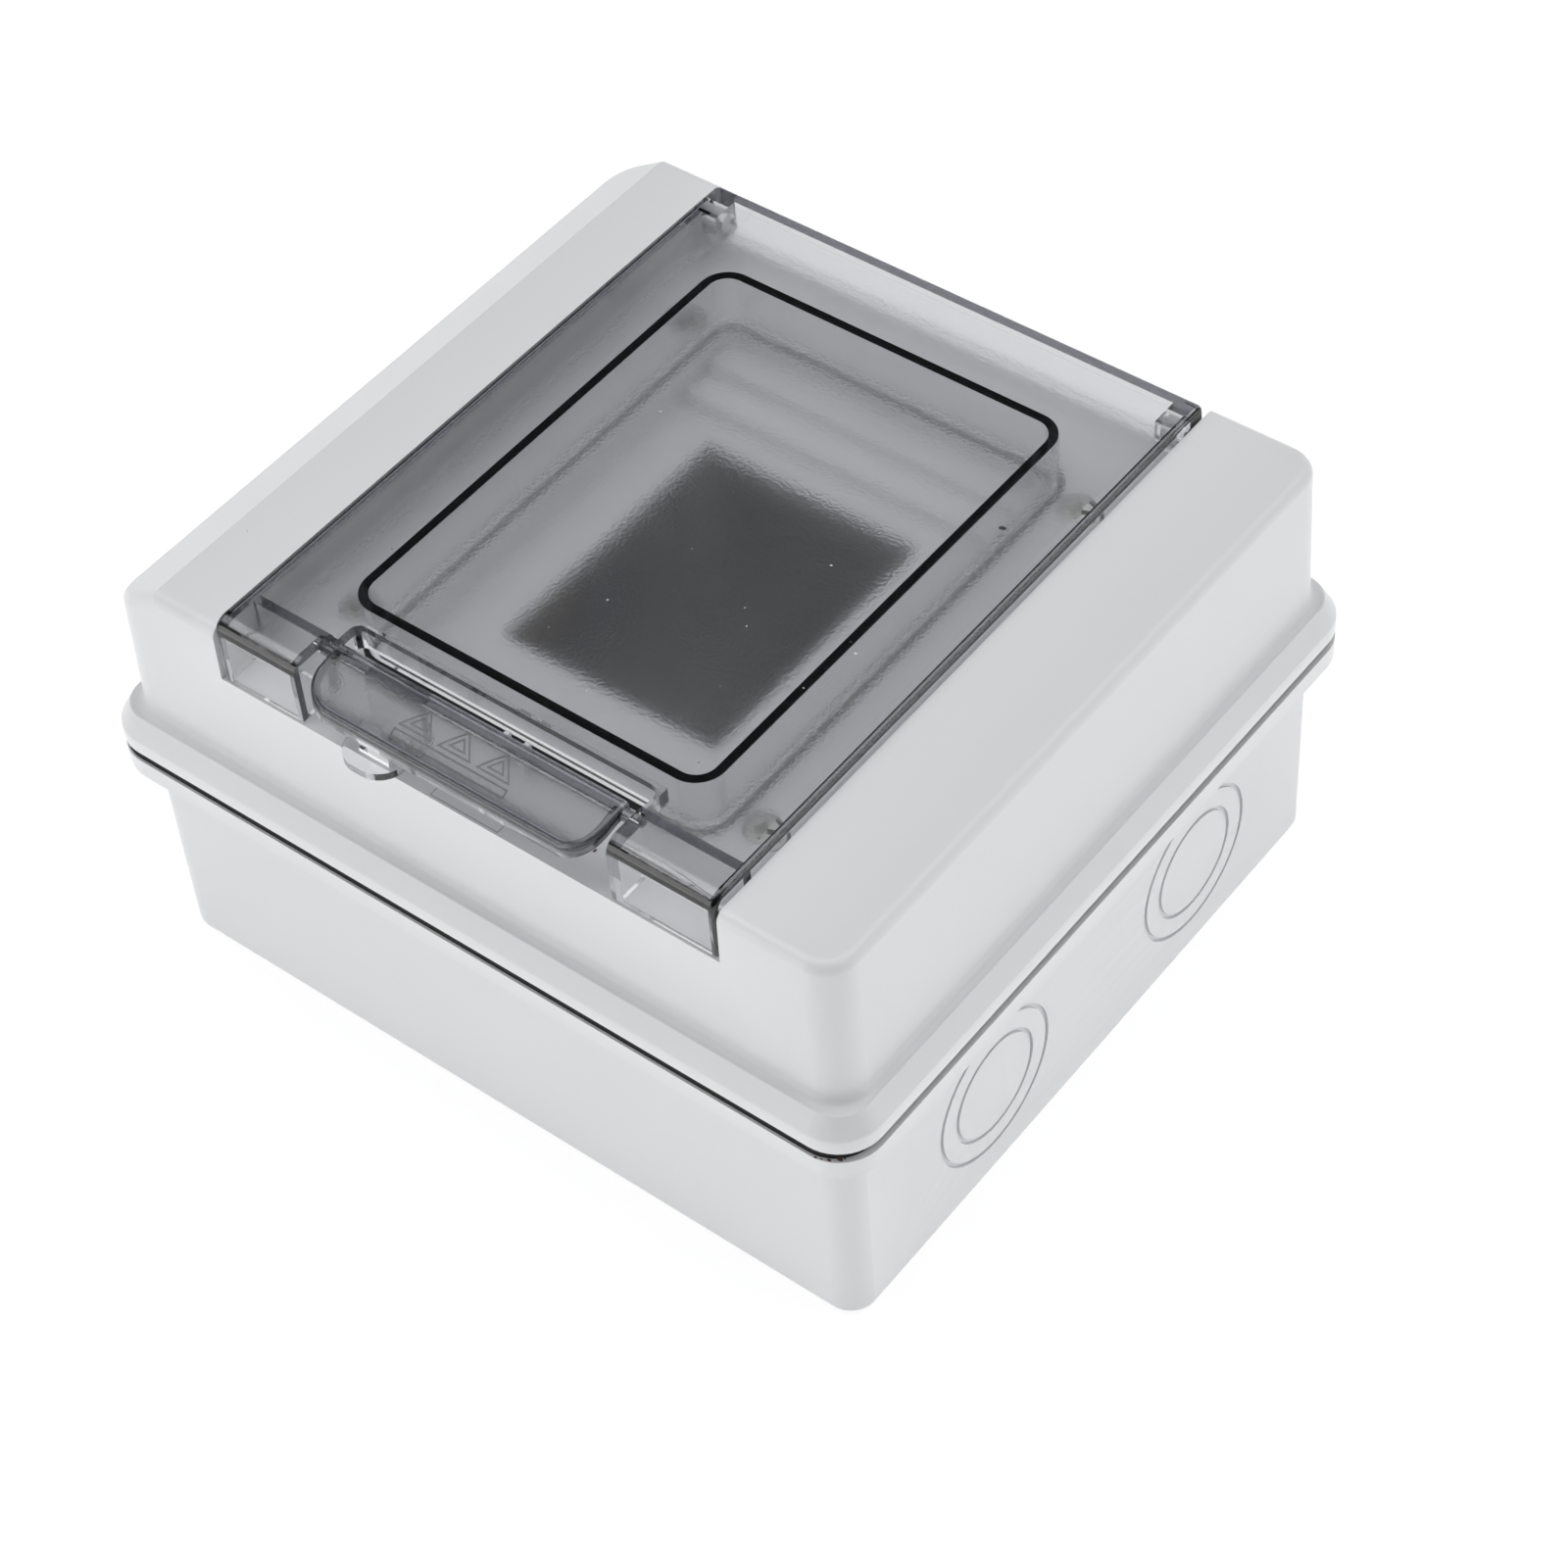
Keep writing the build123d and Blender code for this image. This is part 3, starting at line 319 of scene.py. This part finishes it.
def plastic(name, colour, gloss, tone, specks=0.0, painted_highlight=0.0, grain=5200.0, relief=0.000004):
    """Moulded plastic with the shared skin; relief is the height of its grain in metres."""
    material = bpy.data.materials.new(name)
    material.use_nodes = True
    tree = material.node_tree
    shader = tree.nodes["Principled BSDF"]
    shader.inputs["IOR"].default_value = 1.53
    skin = tree.nodes.new("ShaderNodeGroup")
    skin.node_tree = skin_group
    skin.inputs["Plastic"].default_value = colour
    skin.inputs["Gloss"].default_value = gloss
    skin.inputs["Tone"].default_value = tone
    skin.inputs["Specks"].default_value = specks
    # The edge value is a painted highlight, paler on sharp edges.
    skin.inputs["Painted_highlight"].default_value = painted_highlight
    skin.inputs["Grain"].default_value = grain
    bump = tree.nodes.new("ShaderNodeBump")
    bump.inputs["Strength"].default_value = 1.0
    bump.inputs["Distance"].default_value = relief
    tree.links.new(skin.outputs["Color"], shader.inputs["Base Color"])
    tree.links.new(skin.outputs["Roughness"], shader.inputs["Roughness"])
    tree.links.new(skin.outputs["Height"], bump.inputs["Height"])
    tree.links.new(bump.outputs["Normal"], shader.inputs["Normal"])
    return material


def dress(node, material):
    """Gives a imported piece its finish."""
    piece = nodes[node]
    piece.data.materials.clear()
    piece.data.materials.append(material)


base_abs = plastic("base_abs", abs_grey, gloss=0.36, tone=0.012, specks=0.7, painted_highlight=0.25, relief=0.000010)
dress("base", base_abs)

# Cover gasket: a round cord of black closed-cell foam, glued in the base's groove.
# It shows as a thin black line all round the seam.
foam_black = (0.012, 0.012, 0.013, 1.0)


def foam(name, colour, pore_scale):
    """Closed-cell foam: matt, with small open pores on its skin, and painted shade darkening each pore."""
    material = bpy.data.materials.new(name)
    material.use_nodes = True
    tree = material.node_tree
    shader = tree.nodes["Principled BSDF"]
    place = tree.nodes.new("ShaderNodeTexCoord")
    pores = tree.nodes.new("ShaderNodeTexVoronoi")
    pores.inputs["Scale"].default_value = pore_scale
    tree.links.new(place.outputs["Object"], pores.inputs["Vector"])
    # Painted shade: darker at the middle of each pore.
    shade = tree.nodes.new("ShaderNodeMix")
    shade.data_type = "RGBA"
    shade.inputs["A"].default_value = (colour[0] * 0.4, colour[1] * 0.4, colour[2] * 0.4, 1.0)
    shade.inputs["B"].default_value = colour
    tree.links.new(pores.outputs["Distance"], shade.inputs["Factor"])
    tree.links.new(shade.outputs["Result"], shader.inputs["Base Color"])
    rough = tree.nodes.new("ShaderNodeMapRange")
    rough.inputs["To Min"].default_value = 0.95
    rough.inputs["To Max"].default_value = 0.75
    tree.links.new(pores.outputs["Distance"], rough.inputs["Value"])
    tree.links.new(rough.outputs[0], shader.inputs["Roughness"])
    bump = tree.nodes.new("ShaderNodeBump")
    bump.inputs["Distance"].default_value = 0.00006
    tree.links.new(pores.outputs["Distance"], bump.inputs["Height"])
    tree.links.new(bump.outputs["Normal"], shader.inputs["Normal"])
    return material


dress("cover_gasket", foam("cover_foam", foam_black, pore_scale=2600.0))

# Front cover: the grey ABS shell that is screwed on the base, with the channel for the door.
# Its skin is the same as the base's, a little smoother on top.
cover_abs = plastic("cover_abs", abs_grey, gloss=0.34, tone=0.012, specks=0.7, painted_highlight=0.25, relief=0.000008)
dress("front_cover", cover_abs)

# Insert marks: hair lines round a rectangle on the sill below the lever, where an insert of the mould
# meets the rest of it. They are part of the cover's moulding and stand a few hundredths proud.
insert_outline = ((-5.6, -66.9), (8.4, -66.9), (8.4, -61.6), (-5.6, -61.6))


def ridge(name, node, body, figures, stroke, rise, material):
    """Raised lines round closed figures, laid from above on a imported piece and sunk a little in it."""
    built = bmesh.new()
    steps = 10
    for corners in figures:
        count = len(corners)
        stations = []
        for index in range(count):
            before, here, after = (Vector(corners[(index + k) % count]) / 1000 for k in (-1, 0, 1))
            side_in = (here - before).normalized().orthogonal()
            side_out = (after - here).normalized().orthogonal()
            mitre = (side_in + side_out).normalized()
            stations.append((here, mitre * (stroke / 2 / mitre.dot(side_in))))
        rings = []
        for index in range(count):
            (here, offset), (after, offset_after) = stations[index], stations[(index + 1) % count]
            for step in range(steps):
                middle = here.lerp(after, step / steps)
                half = offset.lerp(offset_after, step / steps)
                ring = []
                for side, lift in ((1, rise), (-1, rise), (-1, -rise / 2), (1, -rise / 2)):
                    spot = middle + half * side
                    below = nodes[node].ray_cast(Vector((spot.x, spot.y, 1.0)), Vector((0, 0, -1)))[1]
                    ring.append(built.verts.new((spot.x, spot.y, below.z + lift)))
                rings.append(ring)
        for index, ring in enumerate(rings):
            following = rings[(index + 1) % len(rings)]
            for k in range(4):
                built.faces.new((ring[k], ring[(k + 1) % 4], following[(k + 1) % 4], following[k]))
    bmesh.ops.recalc_face_normals(built, faces=built.faces)
    mesh = bpy.data.meshes.new(name)
    built.to_mesh(mesh)
    built.free()
    piece = bpy.data.objects.new(name, mesh)
    bpy.context.collection.objects.link(piece)
    mesh.materials.append(material)
    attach(piece, body)
    return piece


# Dark grey lines: painted shade, as the moulded hair lines read dark.
insert_line_painted_shade = plastic("insert_line_painted_shade", (0.36, 0.365, 0.375, 1.0), gloss=0.42, tone=0.01)
ridge(
    "insert_marks", "front_cover", "enclosure", [insert_outline],
    stroke=0.00018, rise=0.00003, material=insert_line_painted_shade,
)

# Grime: brown grains caught under the flange's front corner and on the front wall by the latch.
# They are loose dirt that sticks to the plastic. Each place is across, down, length and turn.
grime_under_flange = (
    (832, 1181, 0.0007, 0.2), (838, 1183, 0.0005, 0.4), (846, 1184, 0.0009, 0.1),
    (857, 1183, 0.0013, 0.0), (862, 1182, 0.0006, 2.9),
)
grime_by_latch = ((607, 868, 0.0009, 1.4), (575, 838, 0.0004, 0.4))


def seen(node, across, down):
    """Point where the camera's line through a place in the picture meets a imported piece, and its normal."""
    line = camera_forward + camera_right * ((across - picture_side / 2) / focal_pixels)
    line = line + camera_down * ((down - picture_side / 2) / focal_pixels)
    hit = nodes[node].ray_cast(Vector(camera_place), line.normalized())
    return hit[1], hit[2]


def specks(name, node, body, places, material):
    """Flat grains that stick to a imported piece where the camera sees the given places."""
    built = bmesh.new()
    for across, down, length, turn in places:
        point, normal = seen(node, across, down)
        lie = normal.to_track_quat("Z", "Y").to_matrix().to_4x4()
        shape = Matrix.Diagonal((length / 2, length / 3.2, length / 7, 1.0))
        place = Matrix.Translation(point) @ lie @ Matrix.Rotation(turn, 4, "Z") @ shape
        bmesh.ops.create_icosphere(built, subdivisions=1, radius=1.0, matrix=place)
    mesh = bpy.data.meshes.new(name)
    built.to_mesh(mesh)
    built.free()
    piece = bpy.data.objects.new(name, mesh)
    bpy.context.collection.objects.link(piece)
    mesh.materials.append(material)
    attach(piece, body)
    return piece


grime = plastic("grime", (0.10, 0.055, 0.045, 1.0), gloss=0.7, tone=0.1)
specks("grime_on_base", "base", "enclosure", grime_under_flange, grime)
specks("grime_on_cover", "front_cover", "enclosure", grime_by_latch, grime)

# Door gasket: a soft black foam ring in a groove round the well. The door's window ring presses on it
# and keeps the well dry.
door_foam = foam("door_foam", (0.02, 0.02, 0.021, 1.0), pore_scale=3200.0)
dress("door_gasket", door_foam)

# Door: clear smoky polycarbonate. Its outside is polished; inside the ring the underside is frosted
# with an orange-peel texture, so that what lies below shows blurred.
smoke_colour = (0.54, 0.55, 0.585, 1.0)
smoke_density = 150.0
clear_tint = (1.0, 1.0, 1.0, 1.0)
window_frost = 0.22
door_low, door_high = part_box("door")
plate_thickness = 0.0022
plate_margin = 0.003
peel_reach = 0.0002
underside = door_high[2] - plate_thickness
peel_low = (door_low[0] + plate_margin, door_low[1] + plate_margin, underside - peel_reach)
peel_high = (door_high[0] - plate_margin, door_high[1] - plate_margin, underside + peel_reach)


def smoky(name, colour, tint, density, polish, frost, frost_low, frost_high):
    """Tinted polycarbonate that lets lamps through; frost is the roughness of its underside in a box."""
    material = bpy.data.materials.new(name)
    material.use_nodes = True
    tree = material.node_tree
    out = tree.nodes["Material Output"]
    shader = tree.nodes["Principled BSDF"]
    shader.inputs["Transmission Weight"].default_value = 1.0
    shader.inputs["IOR"].default_value = 1.585
    place = tree.nodes.new("ShaderNodeTexCoord")

    # Inside the box of the window, on the underside of the plate
    parts = tree.nodes.new("ShaderNodeSeparateXYZ")
    tree.links.new(place.outputs["Object"], parts.inputs[0])
    tests = []
    for axis in (0, 1, 2):
        for limit, operation in ((frost_low[axis], "GREATER_THAN"), (frost_high[axis], "LESS_THAN")):
            test = tree.nodes.new("ShaderNodeMath")
            test.operation = operation
            test.inputs[1].default_value = limit
            tree.links.new(parts.outputs[axis], test.inputs[0])
            tests.append(test)
    mask = tests[0]
    for test in tests[1:]:
        both = tree.nodes.new("ShaderNodeMath")
        both.operation = "MULTIPLY"
        tree.links.new(mask.outputs[0], both.inputs[0])
        tree.links.new(test.outputs[0], both.inputs[1])
        mask = both
    rough = tree.nodes.new("ShaderNodeMapRange")
    rough.inputs["To Min"].default_value = polish
    rough.inputs["To Max"].default_value = frost
    tree.links.new(mask.outputs[0], rough.inputs["Value"])
    tree.links.new(rough.outputs[0], shader.inputs["Roughness"])
    tinted = tree.nodes.new("ShaderNodeMix")
    tinted.data_type = "RGBA"
    tinted.inputs["A"].default_value = (1.0, 1.0, 1.0, 1.0)
    tinted.inputs["B"].default_value = tint
    tree.links.new(mask.outputs[0], tinted.inputs["Factor"])
    tree.links.new(tinted.outputs["Result"], shader.inputs["Base Color"])

    # Orange peel of the frost, and a slight waviness elsewhere
    peel = tree.nodes.new("ShaderNodeTexNoise")
    peel.inputs["Scale"].default_value = 1500.0
    peel.inputs["Detail"].default_value = 1.0
    tree.links.new(place.outputs["Object"], peel.inputs["Vector"])
    peel_masked = tree.nodes.new("ShaderNodeMath")
    peel_masked.operation = "MULTIPLY"
    tree.links.new(peel.outputs["Fac"], peel_masked.inputs[0])
    tree.links.new(mask.outputs[0], peel_masked.inputs[1])
    bump = tree.nodes.new("ShaderNodeBump")
    bump.inputs["Distance"].default_value = 0.00004
    tree.links.new(peel_masked.outputs[0], bump.inputs["Height"])
    tree.links.new(bump.outputs["Normal"], shader.inputs["Normal"])

    # Lamps reach what lies behind through a clear stand-in, tinted as the plastic is
    clear = tree.nodes.new("ShaderNodeBsdfTransparent")
    clear.inputs["Color"].default_value = (0.93, 0.93, 0.93, 1.0)
    path = tree.nodes.new("ShaderNodeLightPath")
    choose = tree.nodes.new("ShaderNodeMixShader")
    tree.links.new(path.outputs["Is Shadow Ray"], choose.inputs["Fac"])
    tree.links.new(shader.outputs[0], choose.inputs[1])
    tree.links.new(clear.outputs[0], choose.inputs[2])
    tree.links.new(choose.outputs[0], out.inputs["Surface"])
    smoke = tree.nodes.new("ShaderNodeVolumeAbsorption")
    smoke.inputs["Color"].default_value = colour
    smoke.inputs["Density"].default_value = density
    tree.links.new(smoke.outputs[0], out.inputs["Volume"])
    return material


door_smoke = smoky(
    "door_smoke", smoke_colour, clear_tint, smoke_density, polish=0.02,
    frost=window_frost, frost_low=peel_low, frost_high=peel_high,
)
dress("door", door_smoke)

# Door's edges: the thickened edges where the plate turns down into its side skirts. They are part of
# the same moulding, and plastic seen end on darkens them; their much denser smoke is painted shade of
# the gap beside the door, so that they read as dark lines.
edge_bead = 0.00055
edge_inset = 0.0008
edge_back, edge_front = door_high[1] - 0.0045, door_low[1] + 0.0030
edge_shade_density = 1800.0
bead_step = 0.0012


def bead(name, node, body, route, radius, material):
    """A round bead along a route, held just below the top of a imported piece."""
    built = bmesh.new()
    sides = 12
    points = []
    for (x, y), (x_after, y_after) in zip(route, route[1:]):
        pieces = max(1, round(math.hypot(x_after - x, y_after - y) / bead_step))
        for step in range(pieces):
            points.append((x + (x_after - x) * step / pieces, y + (y_after - y) * step / pieces))
    points.append(route[-1])
    spine = []
    for x, y in points:
        top = nodes[node].ray_cast(Vector((x, y, 1.0)), Vector((0, 0, -1)))[1]
        spine.append(Vector((x, y, top.z - radius * 1.15)))
    rings = []
    for index, point in enumerate(spine):
        way = (spine[min(index + 1, len(spine) - 1)] - spine[max(index - 1, 0)]).normalized()
        across = way.cross(Vector((0, 0, 1))).normalized()
        up = across.cross(way)
        ring = []
        for k in range(sides):
            angle = 2 * math.pi * k / sides
            ring.append(built.verts.new(point + (across * math.cos(angle) + up * math.sin(angle)) * radius))
        rings.append(ring)
    for ring, following in zip(rings, rings[1:]):
        for k in range(sides):
            built.faces.new((ring[k], ring[(k + 1) % sides], following[(k + 1) % sides], following[k]))
    built.faces.new(rings[0])
    built.faces.new(list(reversed(rings[-1])))
    bmesh.ops.recalc_face_normals(built, faces=built.faces)
    mesh = bpy.data.meshes.new(name)
    built.to_mesh(mesh)
    built.free()
    for face in mesh.polygons:
        face.use_smooth = len(face.vertices) == 4
    piece = bpy.data.objects.new(name, mesh)
    bpy.context.collection.objects.link(piece)
    mesh.materials.append(material)
    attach(piece, body)
    return piece


# The beads' smoke is far denser than the plate's: the extra darkness is painted shade.
rim_smoke_and_shade = smoky(
    "rim_smoke_and_shade", smoke_colour, clear_tint, edge_shade_density, polish=0.05,
    frost=0.05, frost_low=peel_low, frost_high=peel_high,
)
for side, place_x in (("left", door_low[0] + edge_inset), ("right", door_high[0] - edge_inset)):
    edge_route = [(place_x, edge_back), (place_x, edge_front)]
    bead("door_edge_" + side, "door", "door", edge_route, edge_bead, rim_smoke_and_shade)

# Dust: pale and dark grains that lie loose on the door's plate. Each place is across, down, length
# and turn.
pale_places = (
    (674, 420, 0.0006, 0.5), (760, 620, 0.0004, 1.2), (848, 577, 0.0006, 0.4), (762, 639, 0.0004, 2.0),
    (873, 667, 0.0008, 0.3), (688, 603, 0.0003, 0.0), (620, 612, 0.0005, 0.9), (735, 700, 0.0003, 2.2),
    (820, 702, 0.0004, 0.1), (706, 560, 0.0003, 1.1), (880, 540, 0.0003, 0.6), (650, 520, 0.0003, 1.6),
    (560, 640, 0.0003, 0.7), (905, 480, 0.0003, 0.2), (735, 470, 0.0003, 0.4), (598, 705, 0.0004, 1.9),
)
dark_places = (
    (1023, 539, 0.0015, 0.3), (713, 778, 0.0004, 0.8), (868, 655, 0.0006, 1.0), (400, 560, 0.0004, 0.0),
)
dust_pale = plastic("dust_pale", (0.72, 0.72, 0.73, 1.0), gloss=0.7, tone=0.05)
dust_dark = plastic("dust_dark", (0.03, 0.03, 0.035, 1.0), gloss=0.7, tone=0.1)
specks("pale_dust", "door", "door", pale_places, dust_pale)
specks("dark_dust", "door", "door", dark_places, dust_dark)

# Latch lever: the flap between the door's legs, moulded in the same smoky plastic. Its plate is darker
# and frosted, so that a finger grips it, and its tongue is clear. It bends up on two torsion bars.
lever_tint = (0.40, 0.405, 0.43, 1.0)
lever_spare = 0.001
lever_plate_level = 0.0858
lever_low, lever_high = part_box("latch_lever")
lever_smoke = smoky(
    "lever_smoke", smoke_colour, lever_tint, smoke_density, polish=0.03, frost=0.16,
    frost_low=(lever_low[0] - lever_spare, lever_low[1] - lever_spare, lever_plate_level),
    frost_high=tuple(side + lever_spare for side in lever_high),
)
dress("latch_lever", lever_smoke)

# Lever's rolled rim: the bead that stiffens the free edge of the lever's plate. It is part of the
# same moulding, thicker and so darker than the plate; its dense smoke adds painted shade under the rim.
rim_bead = 0.0008
rim_inset = 0.0009
lever_left, lever_right = -0.0302, 0.0297
lever_back, lever_front = lever_high[1] - 0.0016, -0.0696
lever_turn = 0.0060
rim_turn = lever_turn - rim_inset
turn_steps = 12
rim_route = [(lever_left + rim_inset, lever_back)]
for centre_x, start in ((lever_left + lever_turn, 180), (lever_right - lever_turn, 270)):
    for step in range(turn_steps + 1):
        angle = math.radians(start + 90 * step / turn_steps)
        rim_route.append(
            (centre_x + rim_turn * math.cos(angle), lever_front + lever_turn + rim_turn * math.sin(angle))
        )
rim_route.append((lever_right - rim_inset, lever_back))


bead("lever_rim", "latch_lever", "latch", rim_route, rim_bead, rim_smoke_and_shade)

# Lift sign: three hollow triangles over a bar, moulded as thin raised lines on the lever's plate, to
# show where a finger lifts it.
sign_figures = [((-11.6, -67.6), (11.6, -67.6), (11.6, -66.4), (-11.6, -66.4))]
for middle in (-8.0, 0.0, 8.0):
    sign_figures.append(((middle - 3.2, -65.5), (middle + 3.2, -65.5), (middle, -61.4)))
    sign_figures.append(((middle - 1.5, -64.7), (middle + 1.5, -64.7), (middle, -62.8)))
# The lines are opaque dark grey: painted shade, as the moulded lines read dark on the smoky lever.
sign_line_painted_shade = plastic("sign_line_painted_shade", (0.11, 0.11, 0.12, 1.0), gloss=0.30, tone=0.02)
ridge("lift_sign", "latch_lever", "latch", sign_figures, stroke=0.00028, rise=0.00006, material=sign_line_painted_shade)

# Screws: zinc-plated steel with a cross recess and a rolled thread. Four hold the cover on the base's
# posts, two the rail, and the rest clamp wires in the bars or fix the bars' carriers.
zinc = (0.62, 0.62, 0.60, 1.0)


def metal(name, colour, roughness, scale, spread):
    """Plated metal with fine scratches along and across."""
    material = bpy.data.materials.new(name)
    material.use_nodes = True
    tree = material.node_tree
    shader = tree.nodes["Principled BSDF"]
    shader.inputs["Metallic"].default_value = 1.0
    place = tree.nodes.new("ShaderNodeTexCoord")
    scratch_map = tree.nodes.new("ShaderNodeMapping")
    scratch_map.inputs["Scale"].default_value = (1.0, spread, 1.0)
    scratches = tree.nodes.new("ShaderNodeTexNoise")
    scratches.inputs["Scale"].default_value = scale
    scratches.inputs["Detail"].default_value = 4.0
    tree.links.new(place.outputs["Object"], scratch_map.inputs["Vector"])
    tree.links.new(scratch_map.outputs[0], scratches.inputs["Vector"])
    shade = tree.nodes.new("ShaderNodeMix")
    shade.data_type = "RGBA"
    shade.inputs["A"].default_value = (colour[0] * 0.72, colour[1] * 0.72, colour[2] * 0.72, 1.0)
    shade.inputs["B"].default_value = colour
    tree.links.new(scratches.outputs["Fac"], shade.inputs["Factor"])
    tree.links.new(shade.outputs["Result"], shader.inputs["Base Color"])
    rough = tree.nodes.new("ShaderNodeMapRange")
    rough.inputs["To Min"].default_value = roughness
    rough.inputs["To Max"].default_value = roughness + 0.2
    tree.links.new(scratches.outputs["Fac"], rough.inputs["Value"])
    tree.links.new(rough.outputs[0], shader.inputs["Roughness"])
    bump = tree.nodes.new("ShaderNodeBump")
    bump.inputs["Distance"].default_value = 0.00001
    tree.links.new(scratches.outputs["Fac"], bump.inputs["Height"])
    tree.links.new(bump.outputs["Normal"], shader.inputs["Normal"])
    return material


zinc_plate = metal("zinc_plate", zinc, roughness=0.25, scale=900.0, spread=1.0)


def on_circle(x, y, radius, angle, level):
    """Point on a level circle round x and y."""
    return (x + radius * math.cos(angle), y + radius * math.sin(angle), level)


recess_turn = 20
recess_arm = 0.17
recess_floor = 0.75


def screw_group(node, spots, head_radius, head_height, shank_radius, pitch, arms, recess):
    """Screws with a cross recess and a rolled thread, which stand for a node's plain ones."""
    low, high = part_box(node)
    top, tip = high[2], low[2]
    built = bmesh.new()
    sides = 32
    for x, y in spots:
        # Head: from the recess's mouth outward and down to the shank
        outline = []
        for radius, level in (
            (head_radius * 0.86, top),
            (head_radius, top - head_radius * 0.12),
            (head_radius, top - head_height),
            (shank_radius * 0.9, top - head_height),
        ):
            ring = []
            for k in range(sides):
                angle = 2 * math.pi * k / sides
                ring.append(built.verts.new(on_circle(x, y, radius, angle, level)))
            outline.append(ring)
        # Thread: a grid whose radius follows the helix, down to a short point
        rows = max(6, int((top - head_height - tip) / pitch * 5))
        for row in range(1, rows + 1):
            level = top - head_height - (top - head_height - tip) * row / rows
            ring = []
            for k in range(sides):
                turn = (level / pitch + k / sides) % 1.0
                crest = abs(turn * 2 - 1)
                radius = shank_radius * (0.80 + 0.20 * crest)
                radius *= min(1.0, 0.45 + (level - tip) / (shank_radius * 1.2))
                angle = 2 * math.pi * k / sides
                ring.append(built.verts.new(on_circle(x, y, radius, angle, level)))
            outline.append(ring)
        for ring, following in zip(outline, outline[1:]):
            for k in range(sides):
                built.faces.new((ring[k], ring[(k + 1) % sides], following[(k + 1) % sides], following[k]))
        built.faces.new(outline[-1])
        # Recess: a cross that narrows to its floor
        half = head_radius * recess_arm
        reach = [head_radius * arm for arm in arms]
        mouth = []
        for quarter in range(4):
            angle = math.radians(quarter * 90 + recess_turn)
            long_way = reach[quarter % 2]
            for along, across in ((half, -half), (long_way, -half), (long_way, half)):
                turned_x = along * math.cos(angle) - across * math.sin(angle)
                turned_y = along * math.sin(angle) + across * math.cos(angle)
                mouth.append((turned_x, turned_y))
        upper = [built.verts.new((x + a, y + b, top)) for a, b in mouth]
        floor = top - recess
        lower = [built.verts.new((x + a * recess_floor, y + b * recess_floor, floor)) for a, b in mouth]
        for k in range(len(mouth)):
            following = (k + 1) % len(mouth)
            built.faces.new((upper[k], lower[k], lower[following], upper[following]))
        built.faces.new(lower)
        rim = [built.edges.get((upper[k], upper[(k + 1) % len(mouth)])) for k in range(len(mouth))]
        rim += [built.edges.get((outline[0][k], outline[0][(k + 1) % sides])) for k in range(sides)]
        bmesh.ops.triangle_fill(built, use_beauty=True, use_dissolve=False, edges=rim)
    bmesh.ops.recalc_face_normals(built, faces=built.faces)
    mesh = bpy.data.meshes.new(node + "_look")
    built.to_mesh(mesh)
    built.free()
    piece = bpy.data.objects.new(node + "_look", mesh)
    bpy.context.collection.objects.link(piece)
    mesh.materials.append(zinc_plate)
    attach(piece, "enclosure")
    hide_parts(node)
    return piece


def corners_of(node, radius):
    """Centres of the screws that stand in the corners of a node's box."""
    low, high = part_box(node)
    columns = (low[0] + radius, high[0] - radius)
    rows = (low[1] + radius, high[1] - radius)
    return [(x, y) for x in columns for y in rows]


def row_of(node, radius, count):
    """Centres of the screws that stand in one row along a node's box."""
    low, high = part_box(node)
    first, last = low[1] + radius, high[1] - radius
    middle = (low[0] + high[0]) / 2
    return [(middle, first + (last - first) * k / (count - 1)) for k in range(count)]


cover_head, rail_head, clamp_head, carrier_head = 0.0031, 0.0034, 0.0016, 0.0026
screw_group(
    "cover_screws", corners_of("cover_screws", cover_head), cover_head,
    head_height=0.0022, shank_radius=0.0015, pitch=0.0010, arms=(0.62, 0.62), recess=0.0014,
)
screw_group(
    "rail_screws", row_of("rail_screws", rail_head, 2), rail_head,
    head_height=0.0018, shank_radius=0.0015, pitch=0.0010, arms=(0.6, 0.6), recess=0.0011,
)
for side in ("neutral", "earth"):
    bar_screws, carrier_screws = side + "_screws", side + "_fixing_screws"
    screw_group(
        bar_screws, row_of(bar_screws, clamp_head, 7), clamp_head,
        head_height=0.0016, shank_radius=0.0016, pitch=0.0007, arms=(0.8, 0.35), recess=0.0009,
    )
    screw_group(
        carrier_screws, row_of(carrier_screws, carrier_head, 2), carrier_head,
        head_height=0.0016, shank_radius=0.0014, pitch=0.0009, arms=(0.6, 0.6), recess=0.0010,
    )

# Screw seals: black rubber rings under the heads of the cover screws. They keep water out of the
# screws' tubes.
seal_rubber = foam("seal_rubber", (0.015, 0.015, 0.015, 1.0), pore_scale=4000.0)
dress("screw_seals", seal_rubber)

# Hinge pins: turned from pale nylon and pressed into the cover's cheeks. The door's knuckles turn on
# them.
pin_nylon = plastic(
    "pin_nylon", (0.60, 0.61, 0.62, 1.0), gloss=0.45, tone=0.02, painted_highlight=0.3, grain=4000.0, relief=0.000010
)
dress("hinge_pin_left", pin_nylon)
dress("hinge_pin_right", pin_nylon)

# DIN rail: pressed from galvanised steel sheet and screwed on two bosses of the base. It has the
# brushed look of the rolled strip.
galvanised = metal("galvanised", (0.60, 0.61, 0.62, 1.0), roughness=0.32, scale=500.0, spread=0.06)
dress("din_rail", galvanised)

# Terminal bars: brass blocks, blue for neutral and green for earth by the nylon carrier that each is
# clipped in. The carriers are screwed on bosses of the base.
brass_bar = metal("brass_bar", (0.75, 0.56, 0.24, 1.0), roughness=0.28, scale=700.0, spread=0.1)
for side, name, colour in (
    ("neutral", "blue_nylon", (0.05, 0.16, 0.42, 1.0)),
    ("earth", "green_nylon", (0.05, 0.30, 0.10, 1.0)),
):
    dress(side + "_bar", brass_bar)
    carrier_nylon = plastic(name, colour, gloss=0.42, tone=0.03, painted_highlight=0.2, grain=4000.0, relief=0.000010)
    dress(side + "_carrier", carrier_nylon)
